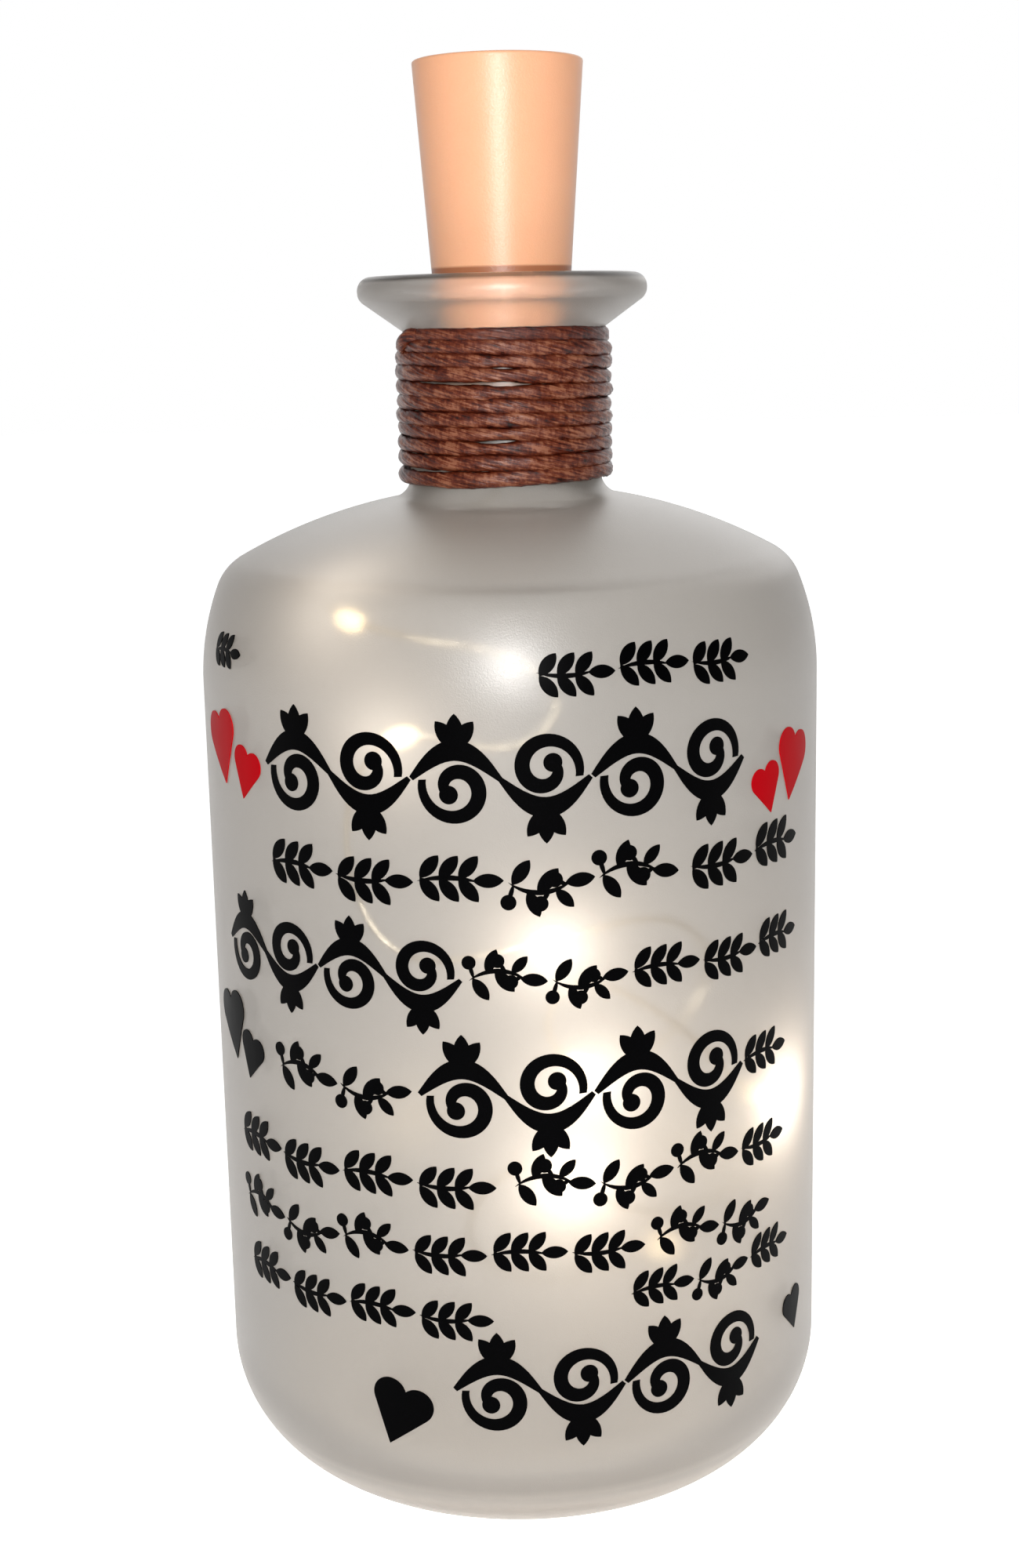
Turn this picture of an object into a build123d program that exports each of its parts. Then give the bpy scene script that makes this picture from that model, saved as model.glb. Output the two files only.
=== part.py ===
"""Cork bottle light: frosted bottle, twine on its neck, vinyl ornament, plastic stopper, light string.

Millimetres, +Z up. The origin is the centre of the base, on the surface that the bottle stands on.
The front of the bottle faces -Y. Azimuths are counted from the front towards +X.
"""
from build123d import *
import math
import os

os.makedirs("parts", exist_ok=True)

# Shared allowances
cut_over = 1.0          # how far a cut runs past the faces that it opens
fit_gap = 0.05          # radial clearance of a seated or running fit
loose_gap = 0.3         # clearance between loose pieces

# Bottle
body_r = 41.1
bottle_height = 160.0
wall = 2.4
floor_thick = 4.0
punt_rise = 1.4         # height of the hollow under the base
stand_width = 4.6       # width of the flat ring that the bottle stands on
foot_round = 5.2
heel_round = 16.9
foot_turn = 60.4        # degrees below level where the heel's two arcs meet
inner_heel_round = 12.0
shoulder_drop = 52.0    # from the lip down to where the shoulder starts
shoulder_round = 34.2
shoulder_turn = 21.8
corner_round = 6.7
corner_turn = 61.4
crown_round = 70.0
neck_r = 12.6
neck_fillet = 3.0
lip_r = 18.9
lip_edge = 2.9          # from the lip's top to where its cone starts
lip_cone = 4.5          # height of the cone under the lip
lip_top_round = 1.8
lip_low_round = 1.8
lip_root_round = 0.7
mouth_round = 0.4
seat_depth = 6.0        # how far the mouth follows the stopper's taper

# Twine round the neck
twine_d = 1.35
twine_turns = 10.75
twine_dip = 1.58        # how far the lowest turn lies below the top of the neck's fillet
twine_start = 100.0     # where the winding starts, in degrees from +X; from there it climbs clockwise
steps_per_turn = 4

# Vinyl ornament on the body
film = 0.12
glue = 0.03
motif_height = 6.0
unit_gap = 0.5
ornament_top_turn = 18.0    # how far the film may climb the shoulder, in degrees of its first arc
ornament_low_turn = 14.0    # and how far it may run down the heel
leaf_length = 3.5
leaf_width = 1.65
laurel_length = 10.0
laurel_stem = 0.8
berry_r = 0.9
vine_length = 17.0
vine_rise = 2.8
vine_width = 2.0
vine_tip = 0.5
curl_r = 3.3
curl_end_r = 0.9
curl_turns = 1.15
curl_width = 1.45

# Stopper shell
stopper_length = 45.0
stopper_depth = 18.3    # how much of it sits inside the mouth
seat_r = 9.08           # its radius at the lip's top
taper = 0.0714          # how much its radius grows for each unit of height
shell_wall = 1.2
shell_floor = 1.5
shell_foot_round = 0.6
rim_round = 0.35
ledge_width = 0.8
ledge_height = 1.0
pry_notch_r = 1.4

# Cap of the stopper
cap_recess = 0.8
cap_thick = 1.6
cap_round = 0.25
post_r = 1.3
post_offset = 6.3

# Circuit board and what stands on it
board_play = 0.6        # between the board's edge and the ledge that it passes
board_thick = 1.0
flange_thick = 1.6
resistor_size = (2.0, 1.25, 0.6)
resistor_offset = 5.2
screw_shank_r = 0.5
screw_head_r = 1.0
screw_head_height = 0.8
screw_tip_cover = 0.8   # cap left over the screw's tip
screw_play = 0.03

# Slide switch
switch_length = 8.6
switch_width = 3.7
switch_height = 3.5
switch_base = 1.5
switch_skin = 0.3
switch_air = 0.2        # between the switch and the cap
switch_travel = 2.0
knob_length = 2.0
knob_width = 1.5
knob_proud = 0.6        # how far the knob stands above the cap
knob_foot = (3.6, 2.6, 0.9)
slide_gap = 0.25
pin_r = 0.3
pin_pitch = 2.5
pin_tail = 0.7

# Battery holder
lead_room = 7.8         # height kept under the holder for the spare lead
holder_wall = 0.95
holder_end = 1.4
holder_front = 0.8      # how far the cradle reaches in front of the axis
leg_size = (2.4, 3.0)
leg_offset = 4.6
spring_room = 1.7
spring_wire = 0.35
spring_low_r = 3.6
spring_high_r = 2.1
spring_turns = 2
strap_thick = 0.3
strap_width = 1.8
strap_azimuth = 128.0   # where the negative strap climbs, past the lead's groove
plate_r = 3.6
plate_thick = 0.4
plate_strap_offset = 3.0
groove_width = 1.4

# Button cells, a standard size
cell_r = 5.8
cell_height = 5.4
cell_count = 3
can_wall = 0.25
can_round = 0.35
cell_step = 0.45        # how far a cell's cap stands out of its can
cap_r_cell = 4.8
seal_wall = 0.5

# Light string
wire_d = 0.8
grommet_flange_r = 2.4
grommet_flange = 0.8
grommet_neck_r = 1.55
grommet_bead = 0.6
bead_r = 1.4
bead_end_r = 0.65
bead_length = 4.6
chip_size = (1.6, 0.8, 0.45)
light_count = 10
light_pitch = 50.0
first_light = 50.0
sleeve_r = 0.75
sleeve_length = 6.0
sleeve_grip = 4.0
arc_share = 0.45        # share of the shorter run that an arc takes


def shell_r(z):
    """The stopper's outer radius at a height."""
    return seat_r + taper * (z - bottle_height)


# Heights and radii that follow
shoulder_z = bottle_height - shoulder_drop
bore_r = seat_r + fit_gap - taper * seat_depth
stopper_low = bottle_height - stopper_depth
stopper_top = stopper_low + stopper_length
cap_top = stopper_top - cap_recess
cap_low = cap_top - cap_thick
switch_top = cap_low - switch_air
board_top = switch_top - switch_height
board_low = board_top - board_thick
flange_low = board_low - flange_thick
floor_top = stopper_low + shell_floor
holder_low = floor_top + lead_room
spring_low = holder_low + holder_end + strap_thick
cells_low = spring_low + spring_room
cells_top = cells_low + cell_count * cell_height
crown_low = cells_top + plate_thick     # underside of the cradle's upper end wall
crown_top = crown_low + holder_end
holder_in_r = cell_r + fit_gap * 3
holder_r = holder_in_r + holder_wall
ledge_in_r = shell_r(cap_low) - shell_wall - fit_gap * 2 - ledge_width
board_r = ledge_in_r - board_play
grommet_low = stopper_low - grommet_flange
wire_top = floor_top + grommet_bead

# The light string's route, chosen by hand: out of the grommet, then in loose bends against the glass
light_route = [
    (0.0, 0.0, wire_top),
    (0.0, 0.0, 129.5),
    (-12.0, -8.0, 121.5),
    (-24.5, -20.5, 120.0),
    (-14.5, -33.0, 117.5),
    (0.5, -31.5, 115.0),
    (7.0, -32.0, 109.0),
    (0.5, -33.5, 102.5),
    (-15.5, -34.0, 107.5),
    (-21.5, -31.5, 93.0),
    (-15.5, -34.5, 76.5),
    (2.0, -37.0, 80.0),
    (18.0, -32.0, 83.0),
    (25.0, -25.0, 75.5),
    (21.0, -27.0, 66.0),
    (9.0, -34.0, 61.5),
    (2.0, -35.5, 69.0),
    (7.5, -35.0, 76.5),
    (20.0, -31.0, 68.0),
    (28.0, -24.0, 56.5),
    (34.0, -16.0, 52.0),
    (33.0, -14.5, 43.0),
    (23.0, -24.5, 40.0),
    (10.0, -33.5, 44.5),
    (4.0, -35.5, 53.5),
    (-6.0, -34.5, 47.5),
    (-7.0, -31.0, 37.0),
    (4.0, -28.0, 32.0),
    (18.0, -22.0, 34.0),
    (31.0, -9.0, 33.0),
    (36.0, 9.0, 30.0),
    (25.0, 27.0, 29.0),
    (4.0, 36.0, 33.0),
    (-17.0, 32.5, 34.0),
    (-26.0, 25.5, 25.0),
    (-17.0, 32.0, 17.0),
    (-1.0, 36.5, 15.0),
    (14.0, 33.5, 14.0),
    (22.0, 29.0, 14.0),
]

# Ornament rows: height as a share of the bottle's, start as a share of half the girth, then runs of
# (motif, scale, count), where "gap" leaves bare glass as long as count motif heights
ornament_row_shares = {
    "neck_side": (0.712, -0.372, [("laurel", 0.80, 1), ("gap", 1.0, 7.1), ("laurel", 0.95, 3)]),
    "upper_vine": (0.634, -0.262, [("vine", 1.25, 3)]),
    "third": (0.556, -0.262, [
        ("laurel", 1.05, 3), ("berry", 1.05, 2), ("gap", 1.0, 0.2), ("laurel", 1.05, 2)]),
    "fourth": (0.480, -0.352, [
        ("vine", 1.12, 2), ("gap", 1.0, 0.1), ("berry", 0.95, 2), ("laurel", 0.95, 3)]),
    "middle_vine": (0.388, -0.262, [
        ("berry", 1.0, 2), ("gap", 1.0, 0.1), ("vine", 1.25, 2), ("laurel", 0.95, 1)]),
    "sixth": (0.316, -0.345, [("laurel", 1.0, 4), ("gap", 1.0, 0.3), ("berry", 1.0, 3), ("laurel", 0.95, 1)]),
    "seventh": (0.260, -0.340, [
        ("berry", 0.95, 3), ("laurel", 0.95, 3), ("gap", 1.0, 0.2), ("berry", 0.95, 2)]),
    "eighth": (0.206, -0.335, [("laurel", 0.95, 4)]),
    "eighth_end": (0.219, 0.106, [("laurel", 0.9, 1), ("berry", 0.9, 1), ("laurel", 0.9, 1)]),
    "lower_vine": (0.146, -0.068, [("vine", 1.25, 2)]),
}

# Hearts beside the rows: row, side of it, distance past its end, rise above it and width, all as shares of
# a motif's height, then tilt in degrees. A later heart lies over an earlier one, with bare glass round it.
red_heart_shares = [
    ("upper_vine", -1, 2.02, 0.19, 1.50, 12.0),
    ("upper_vine", -1, 0.82, -0.27, 1.06, -14.0),
    ("upper_vine", 1, 2.00, -0.37, 1.45, -14.0),
    ("upper_vine", 1, 0.85, -0.75, 1.02, 14.0),
]
black_heart_shares = [
    ("middle_vine", -1, 2.15, 0.53, 1.45, 12.0),
    ("middle_vine", -1, 1.15, 0.00, 1.00, -14.0),
    ("lower_vine", -1, 1.25, -0.62, 1.40, -18.0),
    ("lower_vine", 1, 1.58, 0.11, 0.95, 12.0),
]


def polar(radius, degrees):
    angle = math.radians(degrees)
    return Vector(radius * math.cos(angle), radius * math.sin(angle))


def save(shape, name):
    """Writes one sub-part and prints what it holds."""
    export_step(shape, f"parts/{name}.step")
    print(f"{name}: {len(shape.solids())} solids, {shape.volume:.1f} mm3")


def turned(edges):
    """Turns a closed outline, drawn in the XZ plane, round the Z axis."""
    outline = Curve() + edges
    return revolve(make_face(Plane.XZ * outline), Axis.Z)


def dome(half_width, base, rise):
    """A shallow arc from its top on the axis out to the base height."""
    radius = (half_width ** 2 + rise ** 2) / (2 * rise)
    middle = math.sqrt(radius ** 2 - (half_width / 2) ** 2) - radius + rise
    return ThreePointArc((0, base + rise), (half_width / 2, base + middle), (half_width, base))


def box_at(size, low, x=0.0, y=0.0):
    """A box centred on x and y that stands on the height low."""
    place = Pos(x, y, low)
    return place * Box(*size, align=(Align.CENTER, Align.CENTER, Align.MIN))


def disc(radius, low, height, x=0.0, y=0.0):
    place = Pos(x, y, low)
    return place * Cylinder(radius, height, align=(Align.CENTER, Align.CENTER, Align.MIN))


def ring(outer_r, inner_r, low, height):
    bore = disc(inner_r, low - cut_over, height + 2 * cut_over)
    return disc(outer_r, low, height) - bore


def at_azimuth(degrees, radius=0.0, z=0.0):
    """A plane square to the radius at an azimuth: its x runs round the bottle, its y up."""
    angle = math.radians(degrees)
    outward = Vector(math.sin(angle), -math.cos(angle))
    around = Vector(math.cos(angle), math.sin(angle))
    return Plane(origin=outward * radius + Vector(0, 0, z), x_dir=around, z_dir=outward)


class ShoulderChain:
    """The tangent arcs from the wall over the shoulder into the neck, at a depth inside the surface."""

    def __init__(self, depth, neck_radius, fillet_radius):
        self.depth = depth
        self.first = Vector(body_r - shoulder_round, shoulder_z)
        self.second = self.first + polar(shoulder_round - corner_round, shoulder_turn)
        self.third = self.second + polar(corner_round - crown_round, corner_turn)
        reach = crown_round - depth + fillet_radius
        self.crown_turn = math.degrees(math.acos((neck_radius + fillet_radius - self.third.X) / reach))
        self.fourth = self.third + polar(reach, self.crown_turn)
        self.fillet_radius = fillet_radius
        self.neck_z = self.fourth.Y

    def edges(self):
        turns = [0.0, shoulder_turn, corner_turn, self.crown_turn]
        rounds = [shoulder_round, corner_round, crown_round]
        centres = [self.first, self.second, self.third]
        chain = []
        for centre, radius, start, end in zip(centres, rounds, turns, turns[1:]):
            chain.append(CenterArc(centre, radius - self.depth, start, end - start))
        fillet_start = 180 + self.crown_turn
        chain.append(CenterArc(self.fourth, self.fillet_radius, fillet_start, 180 - fillet_start))
        return chain


outer_chain = ShoulderChain(0.0, neck_r, neck_fillet)
inner_chain = ShoulderChain(wall, bore_r, neck_fillet + neck_r - bore_r)


def lip_points():
    cone_low = bottle_height - lip_edge - lip_cone
    cone_top = bottle_height - lip_edge
    return [(neck_r, cone_low), (lip_r, cone_top), (lip_r, bottle_height)]


def heel_centre():
    """The centre of the arc that ends the wall at its foot."""
    rise = (heel_round - foot_round) * math.sin(math.radians(foot_turn))
    return Vector(body_r - heel_round, foot_round + rise)


def bottle_outside():
    """The outline of the solid that the glass fills, from under the base up to the lip."""
    heel = heel_centre()
    foot = heel + polar(heel_round - foot_round, -foot_turn)
    stand_in_r = foot.X - stand_width
    lip_path = FilletPolyline(
        (neck_r, outer_chain.neck_z),
        *lip_points(),
        (bore_r, bottle_height),
        radius=[lip_root_round, lip_low_round, lip_top_round],
    )
    return [
        dome(stand_in_r, 0, punt_rise),
        Line((stand_in_r, 0), (foot.X, 0)),
        CenterArc(foot, foot_round, -90, 90 - foot_turn),
        CenterArc(heel, heel_round, -foot_turn, foot_turn),
        Line((body_r, heel.Y), (body_r, shoulder_z)),
        *outer_chain.edges(),
        lip_path,
        Line((bore_r, bottle_height), (0, bottle_height)),
        Line((0, bottle_height), (0, punt_rise)),
    ]


def bottle_inside():
    """The outline of the space inside, from the floor up through the mouth."""
    in_r = body_r - wall
    heel = Vector(in_r - inner_heel_round, floor_thick + inner_heel_round)
    mouth_r = seat_r + fit_gap
    seat_low = bottle_height - seat_depth
    round_low = bottle_height - mouth_round
    over = bottle_height + cut_over
    return [
        dome(heel.X, floor_thick, punt_rise),
        CenterArc(heel, inner_heel_round, -90, 90),
        Line((in_r, heel.Y), (in_r, shoulder_z)),
        *inner_chain.edges(),
        Line((bore_r, inner_chain.neck_z), (bore_r, seat_low)),
        Line((bore_r, seat_low), (mouth_r, round_low)),
        CenterArc((mouth_r + mouth_round, round_low), mouth_round, 180, -90),
        Line((mouth_r + mouth_round, bottle_height), (mouth_r + mouth_round, over)),
        Line((mouth_r + mouth_round, over), (0, over)),
        Line((0, over), (0, floor_thick + punt_rise)),
    ]


def make_bottle():
    return turned(bottle_outside()) - turned(bottle_inside())


def helix_path(place, turns, end_length):
    """Biarcs of a quarter turn along place(turn), with straight ends along the tangents."""
    count = round(turns * steps_per_turn)
    nudge = 1 / (count * 100)
    points = [place(i / steps_per_turn) for i in range(count + 1)]
    headings = []
    for i in range(count + 1):
        turn = i / steps_per_turn
        headings.append((place(turn + nudge) - place(turn - nudge)).normalized())
    edges = [Line(points[0] - headings[0] * end_length, points[0])]
    for start, end, out, onward in zip(points, points[1:], headings, headings[1:]):
        chord = end - start
        both = out + onward
        bend = 2 * (1 - out.dot(onward))
        along = chord.dot(both)
        reach = (math.sqrt(along * along + bend * chord.dot(chord)) - along) / bend
        first = start + out * reach
        last = end - onward * reach
        middle = (first + last) / 2
        edges.append(TangentArc(start, middle, tangent=out))
        edges.append(TangentArc(middle, end, tangent=last - first))
    edges.append(Line(points[-1], points[-1] + headings[-1] * end_length))
    return Wire(edges)


def tube(path, diameter):
    start = Plane(origin=path @ 0, z_dir=path % 0)
    return sweep(start * Circle(diameter / 2), path=path)


def least_gap(place, turns, diameter, name):
    """Prints the least gap between a winding's neighbouring turns, measured on points."""
    per_turn = 48
    points = [place(i / per_turn) for i in range(round(turns * per_turn) + 1)]
    least = min(
        (points[i] - points[j]).length
        for i in range(len(points))
        for j in range(i + per_turn // 2, min(i + per_turn * 3 // 2, len(points)))
    )
    print(f"{name}: least gap to itself {least - diameter:.2f} mm")


def make_neck_twine():
    """Turns of twine that lean on the neck, down into its fillet and up under the lip's cone."""
    clear = twine_d / 2 + fit_gap
    low = outer_chain.neck_z - twine_dip
    cone_slope = lip_cone / (lip_r - neck_r)
    run_r = neck_r + clear
    cone_z = bottle_height - lip_edge - lip_cone + clear * cone_slope
    high = cone_z - clear * math.hypot(1, cone_slope)
    pitch = (high - low) / twine_turns

    def place(turn):
        z = low + pitch * turn
        dip = max(outer_chain.neck_z - z, 0.0)
        inside = outer_chain.fillet_radius - clear
        radius = outer_chain.fourth.X - math.sqrt(inside * inside - dip * dip)
        point = polar(radius, twine_start - 360 * turn)
        return Vector(point.X, point.Y, z)

    least_gap(place, twine_turns, twine_d, "neck_twine")
    print(f"neck_twine: pitch {pitch:.2f} mm, outer radius {run_r + twine_d / 2:.2f} mm")
    return tube(helix_path(place, twine_turns, twine_d), twine_d)


def film_band():
    """The thin skin just off the glass that every vinyl piece is cut from."""
    near = glue
    far = glue + film
    shoulder = Vector(body_r - shoulder_round, shoulder_z)
    heel = heel_centre()
    low, high = ornament_low_turn, ornament_top_turn
    edges = [
        CenterArc(heel, heel_round + far, -low, low),
        Line((body_r + far, heel.Y), (body_r + far, shoulder_z)),
        CenterArc(shoulder, shoulder_round + far, 0, high),
        Line(shoulder + polar(shoulder_round + far, high), shoulder + polar(shoulder_round + near, high)),
        CenterArc(shoulder, shoulder_round + near, high, -high),
        Line((body_r + near, shoulder_z), (body_r + near, heel.Y)),
        CenterArc(heel, heel_round + near, 0, -low),
        Line(heel + polar(heel_round + near, -low), heel + polar(heel_round + far, -low)),
    ]
    return turned(edges)


def lens(length, rise_out, rise_in):
    """A flat shape between two arcs that share their ends, along x from the origin."""
    upper = ThreePointArc((0, 0), (length / 2, rise_out), (length, 0))
    lower = ThreePointArc((length, 0), (length / 2, rise_in), (0, 0))
    return make_face([upper, lower])


def leaf(size=1.0):
    return lens(leaf_length * size, leaf_width * size / 2, -leaf_width * size / 2)


def heart(width):
    """Two discs over a point, joined by their tangents."""
    lobe_share, rise_share, point_share = 0.27, 0.16, 0.62
    lobe_r = width * lobe_share
    centre = Vector(width / 2 - lobe_r, width * rise_share)
    tip = Vector(0, -width * point_share)
    reach = centre - tip
    spread = math.degrees(math.asin(lobe_r / reach.length))
    along = math.sqrt(reach.length ** 2 - lobe_r ** 2)
    touch = tip + reach.normalized().rotate(Axis.Z, -spread) * along
    left_touch = Vector(-touch.X, touch.Y)
    left_centre = Vector(-centre.X, centre.Y)
    body = make_face(Polyline(tip, touch, centre, left_centre, left_touch, close=True))
    lobes = [Pos(centre) * Circle(lobe_r), Pos(left_centre) * Circle(lobe_r)]
    return Sketch() + [body, *lobes]


def laurel():
    """A stem with three pairs of leaves and one at its tip."""
    station_shares = [0.05, 0.40, 0.75]
    lean = 50
    stem = laurel_length - leaf_length
    shapes = [lens(stem + laurel_stem, laurel_stem, laurel_stem / 4)]
    for share in station_shares:
        for side in (lean, -lean):
            shapes.append(Pos(stem * share, laurel_stem / 2) * Rot(0, 0, side) * leaf())
    shapes.append(Pos(stem, laurel_stem / 4) * leaf())
    return Sketch() + shapes


def berry():
    """A bent stem with leaves on both sides and three berries on short stalks."""
    leaf_shares = [(0.06, -54, 1.0), (0.45, -48, 1.05), (0.30, 66, 0.95), (0.74, 46, 0.85)]
    berry_shares = [(0.00, 0.26), (0.56, 0.30), (0.82, -0.16)]
    stem = laurel_length - leaf_length
    bow = laurel_stem * 13 / 8

    def on_stem(share):
        """A point on the stem's middle line."""
        return Vector((stem + laurel_stem) * share, bow * 4 * share * (1 - share))

    shapes = [lens(stem + laurel_stem, bow + laurel_stem * 3 / 8, bow - laurel_stem * 3 / 8)]
    shapes.append(Pos(stem, laurel_stem / 3) * Rot(0, 0, -8) * leaf())
    for share, lean, size in leaf_shares:
        shapes.append(Pos(on_stem(share)) * Rot(0, 0, lean) * leaf(size))
    for share, rise in berry_shares:
        centre = Vector(stem * share, motif_height * rise + laurel_stem)
        foot = on_stem(share + 0.08)
        stalk = foot - centre
        angle = math.degrees(math.atan2(stalk.Y, stalk.X))
        twig = lens(stalk.length + laurel_stem / 4, laurel_stem / 3, -laurel_stem / 3)
        shapes += [Pos(centre) * Circle(berry_r), Pos(centre) * Rot(0, 0, angle) * twig]
    return Sketch() + shapes


def stroke(centre_line, widths):
    """A pen stroke: a band of changing width along the points of a line."""
    left, right = [], []
    last = len(centre_line) - 1
    for i, (point, width) in enumerate(zip(centre_line, widths)):
        before = centre_line[max(i - 1, 0)]
        after = centre_line[min(i + 1, last)]
        side = (after - before).normalized().rotate(Axis.Z, 90) * (width / 2)
        left.append(point + side)
        right.append(point - side)
    edges = [Spline(left), Line(left[-1], right[-1]), Spline(right[::-1]), Line(right[0], left[0])]
    return make_face(edges)


def vine_half(size):
    """Half a wave of stem with a curl inside its bend and two leaves outside."""
    half = vine_length / 2
    samples = 9
    line, widths = [], []
    for i in range(samples):
        share = i / (samples - 1)
        swell = math.sin(math.pi * share)
        line.append(Vector(half * share, vine_rise * swell) * size)
        widths.append((vine_tip + (vine_width - vine_tip) * swell) * size)
    shapes = [stroke(line, widths)]
    curl, curl_widths = [], []
    steps = 16
    for i in range(steps + 1):
        share = i / steps
        radius = curl_r + (curl_end_r - curl_r) * share
        point = polar(radius, 165 + 360 * curl_turns * share)
        curl.append((Vector(half / 2, -vine_rise / 3) + point) * size)
        swell = math.sin(math.pi * (share + 0.1) / 1.2)
        curl_widths.append((vine_tip + (curl_width - vine_tip) * swell) * size)
    shapes.append(stroke(curl, curl_widths))
    shapes.append(Pos(curl[-1]) * Circle(berry_r * size))
    for lean, shift_share in ((52, 0.46), (90, 0.50), (128, 0.54)):
        base = Vector(half * shift_share, vine_rise) * size
        shapes.append(Pos(base) * Rot(0, 0, lean) * leaf(size))
    return Sketch() + shapes


def vine(size):
    """One wave of the vine, whose second half is its first turned half round."""
    half = vine_half(size)
    turned_half = Pos(vine_length * size, 0) * Rot(0, 0, 180) * half
    return Sketch() + [half, turned_half]


def unit_shape(kind, size):
    """A motif's flat shape, centred on its length."""
    if kind == "vine":
        return Pos(-vine_length * size / 2, 0) * vine(size)
    shape = laurel() if kind == "laurel" else berry()
    return Pos(-laurel_length * size / 2, 0) * scale(shape, by=size)


def on_glass(band, shape, degrees, z):
    """Lays a flat shape on the body at an azimuth and a height, as a piece of the film."""
    place = at_azimuth(degrees, z=z)
    block = extrude(place * shape, amount=body_r + cut_over)
    return (block & band).solids()


def unit_length(kind, size):
    """The length that a motif takes in its row, with the bare glass after it."""
    if kind == "gap":
        return motif_height * size
    return (vine_length if kind == "vine" else laurel_length) * size + unit_gap


def row_span(name):
    """Where a row starts and ends, measured along the glass from the front."""
    _, start_share, runs = ornament_row_shares[name]
    start = math.pi * body_r * start_share
    return start, start + sum(unit_length(kind, size) * count for kind, size, count in runs) - unit_gap


def make_ornament(band):
    """Every motif of every row, sorted by kind."""
    pieces = {"laurel": [], "berry": [], "vine": []}
    for name, (height_share, _, runs) in ornament_row_shares.items():
        z = bottle_height * height_share
        cursor = row_span(name)[0]
        side = 1
        for kind, size, count in runs:
            step = unit_length(kind, size)
            if kind == "gap":
                cursor += step * count
                continue
            shape = unit_shape(kind, size)
            for _ in range(count):
                centre = math.degrees((cursor + (step - unit_gap) / 2) / body_r)
                flipped = shape if side > 0 or kind == "vine" else mirror(shape, about=Plane.XZ)
                pieces[kind] += on_glass(band, flipped, centre, z)
                cursor += step
                side = -side
    return pieces


def heart_place(share):
    """Where a heart stands: along the glass from the front, and up."""
    name, side, away, rise = share[:4]
    end = row_span(name)[0 if side < 0 else 1]
    height = bottle_height * ornament_row_shares[name][0]
    return Vector(end + side * motif_height * away, height + motif_height * rise)


def make_hearts(band, shares):
    """Hearts on the glass, each cut clear of the later ones that lie over it."""
    pieces = []
    for i, share in enumerate(shares):
        width, tilt = share[4:]
        place = heart_place(share)
        shape = Rot(0, 0, tilt) * heart(motif_height * width)
        for later in shares[i + 1:]:
            apart = heart_place(later) - place
            if apart.length < motif_height * (width + later[4]):
                clear = heart(motif_height * later[4] + unit_gap * 2)
                shape -= Pos(apart) * Rot(0, 0, later[5]) * clear
        pieces += on_glass(band, shape, math.degrees(place.X / body_r), place.Y)
    return pieces


def make_stopper_shell():
    """The tapered shell: hollow, open on top, with a ledge under the cap and a hole in its floor."""
    low_r = shell_r(stopper_low)
    top_r = shell_r(stopper_top)
    outside = FilletPolyline(
        (0, stopper_low),
        (low_r, stopper_low),
        (top_r, stopper_top),
        (0, stopper_top),
        radius=[shell_foot_round, rim_round],
    )
    solid = turned([outside, Line((0, stopper_top), (0, stopper_low))])
    over = stopper_top + cut_over
    hollow = turned([
        Polyline(
            (0, floor_top),
            (shell_r(floor_top) - shell_wall, floor_top),
            (shell_r(over) - shell_wall, over),
            (0, over),
            close=True,
        )
    ])
    ledge_out_r = shell_r(cap_low) - shell_wall / 2
    ledge = ring(ledge_out_r, ledge_in_r, cap_low - ledge_height, ledge_height)
    hole = disc(grommet_neck_r + fit_gap, stopper_low - cut_over, shell_floor + 2 * cut_over)
    notch = Rot(90, 0, 0) * Cylinder(pry_notch_r, shell_wall * 2)
    notch = Pos(0, top_r - shell_wall / 2, stopper_top) * notch
    return solid - hollow + ledge - hole - notch


def screw_places():
    return [(-post_offset, 0), (post_offset, 0)]


def make_stopper_cap():
    """The disc in the stopper's top, with the switch's slot and two posts for the screws."""
    radius = shell_r(cap_low) - shell_wall - fit_gap * 2
    cap = disc(radius, cap_low, cap_thick)
    cap = chamfer(cap.edges().sort_by(Axis.Z)[-1], cap_round)
    for x, y in screw_places():
        cap += disc(post_r, board_top, cap_low - board_top, x, y)
        depth = cap_top - screw_tip_cover - board_top
        cap -= disc(screw_shank_r + screw_play, board_top - cut_over, depth + cut_over, x, y)
    slot_length = knob_length + switch_travel + 2 * slide_gap
    slot = box_at((slot_length, knob_width + 2 * slide_gap, cap_thick + 2 * cut_over), cap_low - cut_over)
    return cap - slot


def make_screws():
    screws = []
    for x, y in screw_places():
        length = cap_top - screw_tip_cover - flange_low - screw_play
        shank = disc(screw_shank_r, flange_low - screw_head_height / 2, length + screw_head_height / 2, x, y)
        head = disc(screw_head_r, flange_low - screw_head_height, screw_head_height, x, y)
        screws += (head + shank).solids()
    return screws


def strap_plane(z):
    return at_azimuth(strap_azimuth, z=z)


def strap_slot(low, high):
    """The room that the negative strap climbs in, through the cradle and the flange."""
    height = high - low
    block = Box(
        strap_width + 2 * loose_gap,
        height,
        holder_wall * 2,
        align=(Align.CENTER, Align.MIN, Align.MIN),
    )
    return strap_plane(low) * Pos(0, 0, holder_in_r - loose_gap / 2) * block


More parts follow.
